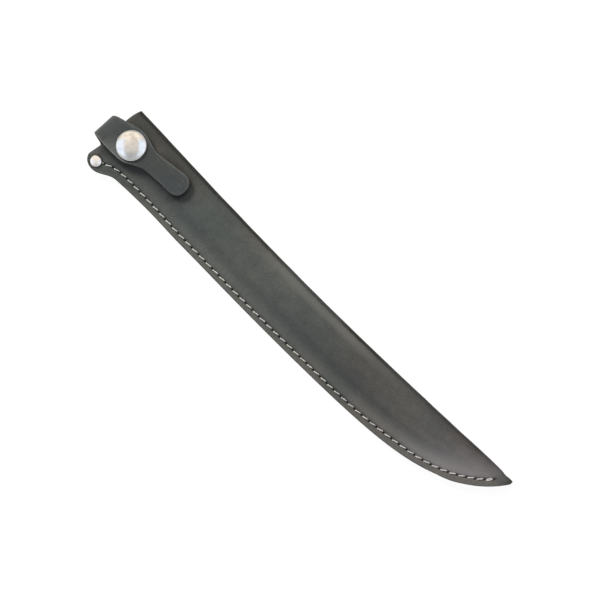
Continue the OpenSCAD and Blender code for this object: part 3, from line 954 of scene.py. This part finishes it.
def metal_material(name, tone, dull, rough, scale=1.0):
    """Plated metal with smudges, hair scratches and slight unevenness."""
    tree, where = new_material(name)
    marks = group_outputs(tree, "metal", Vector=where, Scale=scale)
    smeared = levels(marks["Smudges"], 0.0, 1.0, rough - 0.04, rough + 0.05)
    surface(tree, marks["Hairlines"], METAL_DEPTH,
            {"Base Color": blend(times(marks["Smudges"], 0.25), tone, dull), "Metallic": 1.0,
             "Roughness": maths("MULTIPLY_ADD", marks["Hairlines"], 0.05, smeared)})


def material_once(name, make, *given):
    """A shared material: made on its first use, and found after that."""
    if name not in bpy.data.materials:
        make(name, *given)
    return bpy.data.materials[name]


# Pieces

# The part of an edge's rounding from which on it counts as the cut
CUT_SHARE = 0.6
CASE_MARKS = ("edge", "cut", "fold", "across", "hole_cos", "hole_sin", "shelter")


def build_case(settings):
    """The folded case: front leaf, fold and back leaf as one closed sheet of leather."""
    case, seam = values(settings.case), values(settings.seam)
    form = CaseForm(case, seam)
    columns = form.columns()
    cuts = [form.cut(s) for s, n in columns]
    rows = len(cuts[0])
    half = case.leather / 2
    strap = StrapForm(settings)
    root = strap.strap.fold_width / 2
    last = len(columns) - 1

    def stand(i, j):
        """The rounding's depth on the outer side at column i and row j."""
        row_n, column_n = cuts[i][j].n, columns[i][1]
        if j in (0, rows - 1):
            return row_n
        if i in (0, last):
            return half
        back = j > rows / 2 and i < last / 2
        if back and column_n <= case.edge_round and row_n == 0:
            column_n *= ramp(root, root + 1.5, abs(cuts[i][j].outer[0] + 2.2))
        return max(row_n, column_n)

    def place(i, j, outside):
        s, column_n = columns[i]
        row = cuts[i][j]
        if outside:
            near, far, n = row.outer, row.inner, stand(i, j)
        else:
            near, far, n = row.inner, row.outer, (0.0 if j in (0, rows - 1) else column_n)
        y, z = (mix(near[k], far[k], n / case.leather) for k in (0, 1))
        x = s + form.fade(s) * form.mouth_x(y)
        marks = dict.fromkeys(CASE_MARKS, 0.0)
        if outside:
            at_end = 1 - ramp(0, EDGE_SHADE, min(s, form.end - s))
            turn = form.phase(x)
            marks = {"edge": max(row.edge, at_end), "cut": 1.0 if n > case.edge_round * CUT_SHARE else 0.0,
                     "fold": row.fold, "across": row.across,
                     "hole_cos": math.cos(turn), "hole_sin": math.sin(turn),
                     "shelter": strap.shelter(x, y) if z > 0 else 0.0}
        return (x, y, z), marks

    bm = new_mesh(*CASE_MARKS)
    two_sided_grid(bm, len(columns), rows, place)
    materials = [material_once("case_leather_grain", case_leather_material, case, seam),
                 material_once("case_flesh_side", flesh_material, case.flesh)]
    add_piece(bm, "case_leather", "case", materials, ["sheath_body"])


def build_welt(settings):
    """The welt between the leaves, set back a little, with rubbed edges."""
    case, seam = values(settings.case), values(settings.seam)
    form = CaseForm(case, seam)
    low, high = form.back_in_z + 0.01, form.back_in_z + seam.welt - 0.01
    set_back, bite = 0.1, 0.22
    corner = bite * 0.3
    ring = [(set_back + bite, low), (set_back + corner, low + corner), (set_back, low + bite),
            (set_back, (low + high) / 2), (set_back, high - bite), (set_back + corner, high - corner),
            (set_back + bite, high), (1.0, high), (2.0, high), (2.0, low), (1.0, low), (set_back + bite, low)]
    stations = [0.12, 0.12, 0.3, 0.6] + spread(0.6, form.end - 0.3, case.column)
    stations += [form.end - 0.3, form.end - 0.12, form.end - 0.12]
    inner_row = len(edge_steps(1, 1)) + len(OUTER_ROWS) + len(INNER_ROWS) - 1

    def place(i, j):
        s = stations[i]
        rows = form.cut(s)
        ye, yf = rows[0].outer[0], rows[inner_row].outer[0]
        e, z = ring[j]
        squeeze = min(1.0, (yf - ye) / 4)
        y = ye + e * squeeze if e <= 1.0 else yf - 0.02
        if i in (0, len(stations) - 1):
            y, z = mix(ye, yf, 0.5), (low + high) / 2
        return (s + form.fade(s) * form.mouth_x(y), y, z), {}

    bm = new_mesh()
    mapped_grid(bm, len(stations), len(ring), place)
    material = material_once("burnished_welt", welt_material, seam)
    add_piece(bm, "welt_edge", "case", [material], ["welt"], sharp=50)


STITCH_RINGS = 17
STITCH_SIDES = 15
# How deep a stitch's ends dive, how flat its thread lies and how far its plies turn
STITCH_DIVE, STITCH_FLAT, PLY_TURN = 1.9, 0.85, 2.6
# The last stitch is sewn twice, side by side and with tighter thread
DOUBLED_ASIDE, DOUBLED_THIN = 0.33, 0.1


def add_stitch(bm, start, end, top, up, seam, aside=0.0, thin=0.0):
    """One stitch of three-ply thread, from needle hole to needle hole, as a closed tube."""
    middle_point = Vector((*(start + end) / 2, top))
    span = (end - start).length
    along = Vector((*(end - start).normalized(), 0.0))
    side = Vector((-along.y, along.x, 0.0))
    radius = seam.thread / 2 * (1 - thin)
    sway = math.tan(seam.slant) * span / 2
    wobble = 0.06 * noise.noise(Vector((middle_point.x / 3, 0.3, 5.0)))

    def place(i, j):
        t = max(-1.0, min(1.0, -1 + 2 * (i - 1) / (STITCH_RINGS - 3)))
        sink = STITCH_DIVE * ramp(0.42, 1.0, abs(t)) ** 2.4
        off = sway * t * (1 - abs(t) ** 5) + aside * (1 - abs(t) ** 4) + wobble * (1 - t * t)
        centre = middle_point + along * (t * span / 2 * 0.97) + side * off - up * sink
        phi = 2 * math.pi * j / STITCH_SIDES
        lobes = math.cos(3 * phi)
        r = 0.0 if i in (0, STITCH_RINGS - 1) else radius * (0.9 + 0.1 * lobes)
        turn = phi + t * PLY_TURN
        point = centre + side * (r * math.cos(turn)) + up * (r * STITCH_FLAT * math.sin(turn))
        # deep marks the thread's darkening where it dives into a needle hole, partly dirt and partly painted
        # shade.
        return point, {"ply": 0.5 - 0.5 * lobes, "deep": ramp(0.12, 0.7, sink)}

    mapped_grid(bm, STITCH_RINGS, STITCH_SIDES + 1, place)


def build_stitching(settings):
    """The front and back rows of stitches, which dive into the needle holes."""
    case, seam = values(settings.case), values(settings.seam)
    form = CaseForm(case, seam)
    material = material_once("waxed_thread", thread_material, seam)
    rivet = middle("rivet_cap").xy
    points = [Vector(p) for p in form.hole_points]
    points.insert(0, points[0].lerp(rivet, seam.pitch * 0.8 / (points[0] - rivet).length))
    front_top = form.seam_z - seam.front_groove + seam.thread * 0.42
    back_top = form.back_z + seam.thread * 0.425 + 0.02
    rows = (("front_stitches", points, front_top, Vector((0, 0, 1)), "needle_thread"),
            ("back_stitches", points[1:], back_top, Vector((0, 0, -1)), "bobbin_thread"))
    for name, row, top, up, node_name in rows:
        bm = new_mesh("ply", "deep")
        for start, end in zip(row, row[1:]):
            doubled = end == points[-1]
            thin = max(seam.sunk * (1 - ramp(10, 55, start.x)), 0.14 * (1 - ramp(180, 212, start.x)))
            for aside in ((-DOUBLED_ASIDE, DOUBLED_ASIDE) if doubled else (0.0,)):
                add_stitch(bm, start, end, top, up, seam, aside, DOUBLED_THIN if doubled else thin)
        add_piece(bm, name, "case", [material], [node_name])


# How square the tab's round end is: 2 would be an ellipse
TAB_POWER = 2.4
# How dark the strap's painted shadow is on the front leaf, under the strap and beside it: along the paddle on
# the sewn side and on the fold's, then along the tab on the sewn side and on the fold's
STRAP_SHADOW_UNDER = 0.75
STRAP_SHADOW_PADDLE = (1.05, 0.6)
STRAP_SHADOW_TAB = (0.35, 0.85)


class StrapForm:
    """The strap's course, from the back leaf round the mouth to the tab's end."""

    def __init__(self, settings):
        self.strap = values(settings.strap)
        s = self.strap
        case = values(settings.case)
        self.back_z = -case.slot / 2 - case.leather
        self.snap = middle("snap_cap")
        self.flap_z, self.top_z = heights("strap_flap")
        self.bend_out = (self.top_z - self.back_z) / 2
        self.bend_mid = self.bend_out - s.leather / 2
        self.bend_z = self.back_z + self.bend_out
        self.across = Vector((math.sin(s.fold_skew), math.cos(s.fold_skew)))
        self.square = Vector((math.cos(s.fold_skew), -math.sin(s.fold_skew)))
        self.along = Vector((math.cos(s.skew), math.sin(s.skew)))
        self.side = Vector((-self.along.y, self.along.x))
        bend_x = -s.fold_gap - s.fold_width / 2 * math.sin(s.fold_skew)
        self.snap_reach = (self.snap.x - bend_x) / math.cos(s.skew)
        self.bend_xy = self.snap.xy - self.along * self.snap_reach - self.side * s.fold_shift
        self.drift = math.tan(s.skew + s.fold_skew)
        self.root_slope = math.tan(s.skew + 2 * s.fold_skew)
        self.arc = self.bend_mid * math.pi
        self.straight = self.snap_reach + s.tab_reach - s.tab_round
        self.root_length = 0.5
        self.paddle_u = self.bend_out + self.snap_reach
        self.neck_u = self.paddle_u + s.neck_run
        self.end_u = self.bend_out + self.straight

    def half(self, u):
        """Half the width at distance u from the outermost line of the fold."""
        s = self.strap
        if u < self.paddle_u:
            swell = math.sin(math.pi / 2 * max(0.0, u) / self.paddle_u)
            return mix(s.fold_width, s.paddle, swell) / 2
        if u < self.neck_u:
            return mix(s.paddle, s.neck, ease(ramp(self.paddle_u, self.neck_u, u))) / 2
        return mix(s.neck, s.tab, ramp(self.neck_u, self.end_u, u)) / 2

    def reach(self, f):
        """Length of the flap at the fraction f of its half width."""
        return self.straight + self.strap.tab_round * (1 - abs(f) ** TAB_POWER) ** (1 / TAB_POWER)

    def shelter(self, x, y):
        """How strongly a point of the front leaf takes the strap's painted shadow: 1 under it, less beside
        it.
        """
        flat = Vector((x, y)) - self.snap.xy
        u = self.paddle_u + flat.dot(self.along)
        half = self.half(min(max(u, 0.0), self.end_u))
        off = flat.dot(self.side)
        past = max(0.0, u - self.end_u) / self.strap.tab_round
        beyond = ((abs(off) / half) ** TAB_POWER + past ** TAB_POWER) ** (1 / TAB_POWER) - 1
        if beyond < 0:
            return STRAP_SHADOW_UNDER
        # Beyond the tab's end the painted shadow is darkest in a crescent close to the end.
        if past > 0:
            away = beyond * self.strap.tab_round
            close = 0.8 * (1 - ramp(0.5, 1.5, away)) * ramp(0, 0.6, past)
            strength = 0.8 - 0.25 * ramp(0, half, off) + 0.15 * ramp(0, half, -off)
            return strength * (1 - ramp(0.8, 5.8, away) + close)
        strength = (STRAP_SHADOW_PADDLE if u < self.paddle_u + 6 else STRAP_SHADOW_TAB)[off > 0]
        hollow = 1 - 0.7 * bell(u - self.paddle_u - 11, 4)
        return strength * hollow * (1 - ramp(0.5, 3.6, beyond * half))

    def root_half(self, u):
        """Extra half width of the root's fillet."""
        fillet = self.strap.fillet
        return fillet * (1 - math.sqrt(1 - (1 - ramp(-0.5, fillet * 0.8, u)) ** 2))

    def at_bend(self, u, f, depth):
        """A point of the root or the curl, at length u from the curl's start.

        f runs from -1 to 1 across the strap, and depth from its grain side inwards.
        """
        a = -math.pi / 2 + math.pi * max(0.0, u) / self.arc
        shift = self.bend_mid * (a - math.pi / 2) * self.drift
        on = self.half(self.bend_out * a / (math.pi / 2)) if a > 0 else self.strap.fold_width / 2
        half = on / (math.cos(self.strap.skew + self.strap.fold_skew) if a > 0 else 1)
        half += self.root_half(u)
        r = self.bend_out - depth
        flat = self.bend_xy + self.across * (shift + f * half) - self.square * (r * math.cos(a))
        x, y = flat
        if u < 0:
            back = (0.05 - x) * min(1.0, -u / self.root_length)
            x += back
            y += back * self.root_slope
        return Vector((x, y, self.bend_z + r * math.sin(a)))

    def at_flap(self, x, f, depth):
        """A point of the flap, at length x from the curl's end."""
        s = self.strap
        half = self.half(self.bend_out + min(x, self.straight))
        start = f * half * self.drift * (1 - ramp(0, 8, x))
        back = s.fold_shift * ease(ramp(0, self.snap_reach, x))
        flat = self.bend_xy + self.along * (x + start) + self.side * (f * half + back)
        sag = s.dip * bell(x - self.snap_reach - 13.5, 6.5) + 0.22 * f * f * ramp(2, 10, x)
        return Vector((*flat, self.top_z - depth - sag))


# Columns of the mesh across the strap, and rows towards the tab's round end
CORE_COLUMNS, END_ROWS = 16, 15
# waxed marks the painted shadow line along the strap's edge, rubbed a pale line that is partly a painted
# highlight, and curl a lighter curl line with a painted sheen beside the paddle.
STRAP_MARKS = ("edge", "cut", "rubbed", "waxed", "curl")


def build_strap(settings):
    """The strap: one closed sheet of leather from its root through the curl to the tab."""
    form = StrapForm(settings)
    s = form.strap
    t = s.leather
    ends = [e for e, n in edge_steps(s.edge_round, t / 2)]
    wide = s.fold_width / 2
    edge_f = [1 - e / wide for e in ends]
    core = [mix(edge_f[-1], -edge_f[-1], i / CORE_COLUMNS) for i in range(1, CORE_COLUMNS)]
    fractions = edge_f + core + [-f for f in reversed(edge_f)]
    root = -form.root_length
    columns = [("bend", root), ("bend", root)]
    columns += [("bend", u) for u in spread(root, form.arc, 0.55)]
    settled = form.straight - 4
    columns += [("flap", x) for x in [0.0] + spread(0.0, settled, 0.6)]
    columns += [("end", i / END_ROWS) for i in range(END_ROWS)] + [("cut", e) for e in reversed(ends)]
    last = len(columns) - 1
    rows = len(fractions)

    def place(i, j, outside):
        kind, u = columns[i]
        f = fractions[j]
        course, x = (form.at_bend if kind == "bend" else form.at_flap), u
        reach = form.reach(min(1.0, abs(f)))
        inward = 1 - abs(f) ** 6
        if kind == "end":
            x = mix(settled, reach - s.edge_round * inward, u)
        elif kind == "cut":
            x = reach - u * inward
        if kind != "bend" and x >= form.straight:
            q = ramp(form.straight, form.straight + s.tab_round, x)
            share = min(1.0, abs(f) ** TAB_POWER + q ** TAB_POWER) ** (1 / TAB_POWER)
            distance = s.tab_round * (1 - share)
        else:
            distance = (1 - abs(f)) * wide
        border = j in (0, rows - 1) or i in (0, last)
        n = t / 2 if border else rounding(distance, s.edge_round)
        middle_layer = course(x, f, t / 2)
        point = course(x, f, 0.0 if outside else t).lerp(middle_layer, min(1.0, n / (t / 2)))
        marks = dict.fromkeys(STRAP_MARKS, 0.0)
        if outside:
            on = u if kind == "bend" else form.bend_out + (u if kind == "flap" else form.straight)
            # The pale edge line, partly rubbed and partly a painted highlight: strongest on the sewn side
            # near the fold.
            rubbed = mix(0.6, 0.1, ramp(form.paddle_u + 2, form.paddle_u + 6, on))
            if f > 0:
                rubbed = mix(0.12, 0.32, ramp(form.paddle_u - 4, form.neck_u, on))
            # Painted shadow line along the strap's edge on the sewn side, beside the neck and tab, fading out
            # before the tab's end.
            waxed = ramp(form.paddle_u + 2, form.paddle_u + 6, on) * (1 - ramp(0.3, 0.75, f))
            waxed *= 1 - ramp(form.end_u - 4, form.end_u - 0.5, on)
            # Painted sheen: a pale patch along the paddle's lower edge, between the fold and the snap.
            painted_sheen = 0.38 * bell(f + 0.85, 0.55) * bell(on - form.paddle_u + 4, 7.5)
            marks = {"edge": 0.0 if i < 3 else 1 - ramp(0, 1.6, distance),
                     "cut": 1.0 if n > s.edge_round * CUT_SHARE else 0.0, "rubbed": rubbed, "waxed": waxed,
                     "curl": 0.3 * bell(u / form.arc - 0.5, 0.14) if kind == "bend" else painted_sheen}
        return point, marks

    bm = new_mesh(*STRAP_MARKS)
    two_sided_grid(bm, len(columns), rows, place)
    materials = [material_once("strap_leather_grain", strap_leather_material, s),
                 material_once("strap_flesh_side", flesh_material, s.flesh)]
    piece = add_piece(bm, "strap_leather", None, materials, ["strap_bend", "strap_flap"])
    x, y = form.bend_xy
    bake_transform(piece, "case", "strap", start=(x * MM, y * MM, (form.back_z + t) * MM),
             end=(x * MM, y * MM, form.flap_z * MM))


# The socket's room round the stud's head, and the angle of the gap in the spring
SNAP_ROOM = 0.8
SPRING_GAP = math.radians(60)


def dome(radius, rim, top, steps, fullness=1.0):
    """The outline of a cap's dome, from the top of its rim to its middle."""
    turns = [math.pi / 2 * i / steps for i in range(steps)]
    path = [(radius * math.cos(a) ** fullness, rim + (top - rim) * math.sin(a)) for a in turns]
    return path + [(0.0, top)]


def build_rivet(settings):
    """The rivet through the ear: a domed cap in front and a flat one behind."""
    rivet, snap = values(settings.rivet), values(settings.snap)
    centre = middle("rivet_cap")
    front, back = heights("rivet_cap")[0], heights("rivet_post")[0]
    r, post = rivet.cap / 2, rivet.post / 2
    nickel = material_once("worn_nickel", metal_material, rivet.tone, snap.smudge, 0.32, 1.6)
    under = [(0.0, 0.8), (post, 0.8), (post, 0.02), (r - 0.25, 0.02, 0.1), (r + 0.02, 0.3, 0.2)]
    add_turned(under + dome(r, 0.55, rivet.height, 12), centre, front, "rivet_front", "case",
               nickel, "rivet_cap", sharp=180, steps=64)
    top = front + 0.75 - back
    disc = [(0.0, 0.22), (1.0, 0.2, 0.1), (1.35, 0.05, 0.1), (2.1, 0.0, 0.3), (r - 0.1, 0.06, 0.3),
            (r - 0.02, 0.5, 0.1), (r - 0.2, 0.87, 0.1), (post, 0.87), (post, top, 0.1), (0.0, top)]
    add_turned(disc, centre, back, "rivet_back", "case", nickel, "rivet_post", steps=64)


def build_snap(settings):
    """The snap: cap, socket and spring on the strap, stud and eyelet on the case."""
    snap = values(settings.snap)
    strap = values(settings.strap)
    centre = middle("snap_cap")
    nickel = material_once("polished_nickel", metal_material, snap.nickel, snap.smudge, 0.1)
    steel = material_once("plated_steel", metal_material, snap.steel, snap.smudge, 0.3)
    wire = material_once("spring_wire", metal_material, snap.wire, snap.smudge, 0.35)
    r, post, t = snap.cap / 2, snap.post / 2, snap.metal
    low, high = heights("snap_cap")
    top_z = high - snap.cap_height
    low -= top_z
    cap = [(0.0, low), (post + 1, low, 0.08), (post + 1, -strap.leather - t), (post, -strap.leather - t),
           (post, 0.0), (r - 1.1, 0.0), (r - 0.5, -0.02, 0.2), (r - 0.02, 0.25, 0.25)]
    cap += dome(r, 0.75, snap.cap_height, 20, 0.96)
    add_turned(cap, centre, top_z, "snap_cap_dome", "strap", nickel, "snap_cap")
    low, high = heights("snap_socket")
    deep = high - low
    r, hole = snap.socket / 2, snap.head / 2 + SNAP_ROOM
    inner = post + 0.05
    socket = [(inner, 0.0), (r - t, 0.0, 0.15), (r, -t, 0.15), (r, t - deep, 0.25), (r - t, -deep, 0.2),
              (r - 1.4, -deep, 0.1), (r - 1.9, -deep + 0.35, 0.25), (hole + 0.9, -deep + 0.35, 0.25),
              (hole + 0.35, -deep, 0.15), (hole, -deep, 0.12), (hole, -t), (inner, -t)]
    add_turned(socket, centre, high, "snap_socket_ring", "strap", steel, "snap_socket",
               sharp=50, closed=True)
    low, high = heights("snap_stud")
    tall = high - low
    r, bore, flange = snap.head / 2, snap.barrel / 2 + 0.05, snap.flange / 2
    stud = [(bore, 0.0), (flange, 0.0, 0.08), (flange, 0.3, 0.15), (flange - 0.7, 0.4, 0.2),
            (r + 0.9, 0.28, 0.2), (r - 0.4, 0.42, 0.15), (r - 0.4, tall * 0.45, 0.2), (r, tall * 0.66, 0.25),
            (r - 0.05, tall * 0.88, 0.3), (r - 0.5, tall, 0.25), (bore, tall)]
    add_turned(stud, centre, low, "snap_stud_head", "case", steel, "snap_stud", closed=True)
    low, high = heights("stud_eyelet")
    tall = high - low
    left, right = (corner.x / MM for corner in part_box("stud_eyelet"))
    wide = (right - left) / 2
    bore = snap.barrel / 2 - t
    eyelet = [(bore, 0.0, 0.15), (wide, 0.0, 0.15), (wide, 0.47, 0.15), (bore + t, 0.47, 0.1),
              (bore + t, tall - 0.15), (bore + 2 * t, tall - 0.15, 0.05), (bore + 2 * t, tall, 0.1),
              (bore + 0.25, tall, 0.15), (bore, tall - 0.3)]
    add_turned(eyelet, centre, low, "stud_eyelet_ring", "case", steel, "stud_eyelet",
               steps=64, closed=True)
    low, high = heights("snap_spring")
    thick = high - low
    bm = new_mesh()
    turn = Matrix.Rotation(math.pi / 2, 4, "X")
    shift = Matrix.Translation((hole - thick / 2 - 0.05, 0, 0))
    bmesh.ops.create_circle(bm, cap_ends=True, segments=12, radius=thick / 2, matrix=shift @ turn)
    bmesh.ops.spin(bm, geom=bm.faces[:], cent=(0, 0, 0), axis=(0, 0, 1), angle=math.tau - SPRING_GAP,
                   steps=60, use_merge=False, use_duplicate=False)
    halved = Matrix.Rotation(SPRING_GAP / 2, 3, "Z")
    bmesh.ops.rotate(bm, verts=bm.verts[:], cent=(0, 0, 0), matrix=halved)
    bmesh.ops.translate(bm, verts=bm.verts[:], vec=(centre.x, centre.y, (low + high) / 2))
    add_piece(bm, "snap_spring_wire", "strap", [wire], ["snap_spring"], sharp=60)


# The photo's right and up as directions on the table, and the middle of its view
IMAGE_RIGHT = Vector((math.sqrt(0.5), math.sqrt(0.5), 0.0))
IMAGE_UP = Vector((-math.sqrt(0.5), math.sqrt(0.5), 0.0))
VIEW_CENTRE = Vector((0.1249, 0.0059, 0.0))
LIGHT_TONE = (1.0, 0.975, 0.93)
# Each light's size and its place: along the image's up and right, and over the table, in metres
LIGHTS = {"key": (0.42, 0.88, -0.71, 0.9), "side": (0.3, 0.7, 0.25, 1.1)}


def backdrop_shader(tree, shaded, glow):
    """A floor that looks pale and takes a shadow from above, and is open from below."""
    seen = node(tree, "ShaderNodeLightPath").outputs
    direct = largest(seen["Is Camera Ray"], seen["Is Glossy Ray"], seen["Is Transmission Ray"])
    lit = node(tree, "ShaderNodeEmission", {"Strength": times(direct, glow)}).outputs[0]
    pale = node(tree, "ShaderNodeAddShader", {0: shaded, 1: lit}).outputs[0]
    close = times(maths("LESS_THAN", seen["Ray Length"], 3 * MM), seen["Is Diffuse Ray"])
    behind = node(tree, "ShaderNodeNewGeometry").outputs["Backfacing"]
    opening = node(tree, "ShaderNodeBsdfTransparent").outputs[0]
    return node(tree, "ShaderNodeMixShader", {0: largest(close, behind), 1: pale, 2: opening}).outputs[0]


def build_floor(stage):
    """The white floor under the case."""
    floor_z = CAD_BOX[0].z - 0.2 * MM
    bm = bmesh.new()
    bmesh.ops.create_grid(bm, x_segments=1, y_segments=1, size=stage.floor / 2 * MM)
    bmesh.ops.translate(bm, verts=bm.verts[:], vec=(VIEW_CENTRE.x, VIEW_CENTRE.y, floor_z))
    mesh = bpy.data.meshes.new("floor")
    bm.to_mesh(mesh)
    bm.free()
    material = bpy.data.materials.new("pale_floor")
    material.use_nodes = True
    tree = material.node_tree
    tree.nodes.clear()
    shaded = node(tree, "ShaderNodeBsdfDiffuse", {"Color": stage.floor_tone}).outputs[0]
    node(tree, "ShaderNodeOutputMaterial", {"Surface": backdrop_shader(tree, shaded, stage.glow)})
    mesh.materials.append(material)
    linked("floor", mesh)


def mirrored_studio(where, height):
    """What polished metal mirrors: a warm strip of light above, cool panels on both sides."""
    aside = vector_maths("DOT_PRODUCT", where, IMAGE_RIGHT, output="Value")
    above = vector_maths("DOT_PRODUCT", where, IMAGE_UP, output="Value")
    dim = (0.52, 0.54, 0.57, 1.0)
    strip = blend(levels(above, -0.32, -0.02), (0.62, 0.67, 0.73, 1.0), (1.12, 1.06, 1.0, 1.0))
    strip = blend(levels(above, 0.08, 0.3), strip, (1.37, 1.24, 1.1, 1.0))
    patches = levels(noise_at(where, 5.5, 3.0, 0.55, 0.4), 0.44, 0.6, 0.0, 0.5)
    strip = blend(patches, strip, (0.62, 0.57, 0.53, 1.0))
    panels = times(levels(maths("ABSOLUTE", aside), 0.2, 0.34), levels(above, 0.42, 0.22),
                   levels(above, -0.62, -0.42, 0.3, 1.0))
    strip = blend(levels(height, 0.6, 0.3), strip, dim)
    strip = blend(panels, strip, (1.16, 1.28, 1.5, 1.0))
    return blend(levels(height, 0.42, 0.1), strip, dim)


def build_world(stage):
    """Soft light from the sky, a studio for the metal to mirror and white for the camera."""
    world = bpy.data.worlds.new("soft_sky")
    bpy.context.scene.world = world
    world.use_nodes = True
    tree = world.node_tree
    tree.nodes.clear()
    where = node(tree, "ShaderNodeTexCoord").outputs["Generated"]
    height = axis(where, "Z")
    even = largest(levels(height, 0.0, 0.8, 0.35, 1.15), levels(height, -0.1, -0.5, 0.0, 2.4))

    def light(tone, strength=1.0):
        return node(tree, "ShaderNodeBackground", {"Color": tone, "Strength": strength}).outputs[0]

    seen = node(tree, "ShaderNodeLightPath").outputs
    sky = light((0.88, 0.95, 1.15, 1.0), times(even, stage.sky))
    inner = node(tree, "ShaderNodeMixShader",
                 {0: seen["Is Glossy Ray"], 1: sky, 2: light(mirrored_studio(where, height))}).outputs[0]
    both = node(tree, "ShaderNodeMixShader",
                {0: seen["Is Camera Ray"], 1: inner, 2: light((1.0, 1.0, 1.0, 1.0))}).outputs[0]
    node(tree, "ShaderNodeOutputWorld", {"Surface": both})


def build_stage(settings):
    """White floor, soft lights and the camera straight above the case."""
    stage = values(settings.stage)
    build_floor(stage)
    build_world(stage)
    for name, (size, up, right, height) in LIGHTS.items():
        lamp = bpy.data.lights.new(f"{name}_light", "AREA")
        lamp.shape = "DISK"
        lamp.size = size
        lamp.energy = getattr(stage, name)
        lamp.color = LIGHT_TONE
        place = VIEW_CENTRE + IMAGE_UP * up + IMAGE_RIGHT * right + Vector((0, 0, height))
        made = linked(f"{name}_light", lamp)
        made.location = place
        made.visible_glossy = False
        made.rotation_euler = (VIEW_CENTRE - place).to_track_quat("-Z", "Y").to_euler()
    data = bpy.data.cameras.new("camera")
    data.sensor_width = stage.sensor
    data.lens = stage.sensor * stage.distance / stage.view
    data.clip_end = 20.0
    camera = linked("camera", data)
    camera.location = (VIEW_CENTRE.x, VIEW_CENTRE.y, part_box("sheath_body")[1].z + stage.distance * MM)
    camera.rotation_euler = (0.0, 0.0, math.radians(45))
    scene = bpy.context.scene
    scene.camera = camera
    scene.view_settings.view_transform = "Standard"


# Operators, panel and registration

def settings_of(context):
    return context.scene.blade_guard


class GUARD_OT_case(bpy.types.Operator):
    """Build the folded leather case"""
    bl_idname = "guard.case"
    bl_label = "Leather Case"

    def execute(self, context):
        build_case(settings_of(context))
        return {"FINISHED"}


class GUARD_OT_welt(bpy.types.Operator):
    """Build the welt between the two leaves"""
    bl_idname = "guard.welt"
    bl_label = "Welt"

    def execute(self, context):
        build_welt(settings_of(context))
        return {"FINISHED"}


class GUARD_OT_stitching(bpy.types.Operator):
    """Build the stitches on the front and the back"""
    bl_idname = "guard.stitching"
    bl_label = "Stitching"

    def execute(self, context):
        build_stitching(settings_of(context))
        return {"FINISHED"}


class GUARD_OT_strap(bpy.types.Operator):
    """Build the strap that folds over the mouth"""
    bl_idname = "guard.strap"
    bl_label = "Strap"

    def execute(self, context):
        build_strap(settings_of(context))
        return {"FINISHED"}


class GUARD_OT_rivet(bpy.types.Operator):
    """Build the rivet at the mouth"""
    bl_idname = "guard.rivet"
    bl_label = "Rivet"

    def execute(self, context):
        build_rivet(settings_of(context))
        return {"FINISHED"}


class GUARD_OT_snap(bpy.types.Operator):
    """Build the snap's cap, socket, spring, stud and eyelet"""
    bl_idname = "guard.snap"
    bl_label = "Snap"

    def execute(self, context):
        build_snap(settings_of(context))
        return {"FINISHED"}


class GUARD_OT_stage(bpy.types.Operator):
    """Build the floor, the lights and the camera"""
    bl_idname = "guard.stage"
    bl_label = "Stage"

    def execute(self, context):
        build_stage(settings_of(context))
        return {"FINISHED"}


OPERATORS = (GUARD_OT_case, GUARD_OT_welt, GUARD_OT_stitching, GUARD_OT_strap, GUARD_OT_rivet,
             GUARD_OT_snap, GUARD_OT_stage)


class GUARD_PT_panel(bpy.types.Panel):
    """Sizes, colours and building steps of the blade guard"""
    bl_idname = "GUARD_PT_panel"
    bl_label = "Blade Guard"
    bl_space_type = "VIEW_3D"
    bl_region_type = "UI"
    bl_category = "Blade Guard"

    def draw(self, context):
        settings = settings_of(context)
        for part in GuardSettings.__annotations__:
            box = self.layout.box()
            box.label(text=part.title())
            group = getattr(settings, part)
            for key in group.__annotations__:
                box.prop(group, key)
        for operator in OPERATORS:
            self.layout.operator(operator.bl_idname)


CLASSES = (CaseSettings, SeamSettings, StrapSettings, SnapSettings, RivetSettings, StageSettings,
           GuardSettings) + OPERATORS + (GUARD_PT_panel,)


def register():
    for each in CLASSES:
        bpy.utils.register_class(each)
    bpy.types.Scene.blade_guard = PointerProperty(type=GuardSettings)


def unregister():
    del bpy.types.Scene.blade_guard
    for each in reversed(CLASSES):
        bpy.utils.unregister_class(each)


def main():
    register()
    for operator in OPERATORS:
        getattr(bpy.ops.guard, operator.bl_idname.split(".")[1])()


if __name__ == "__main__":
    main()
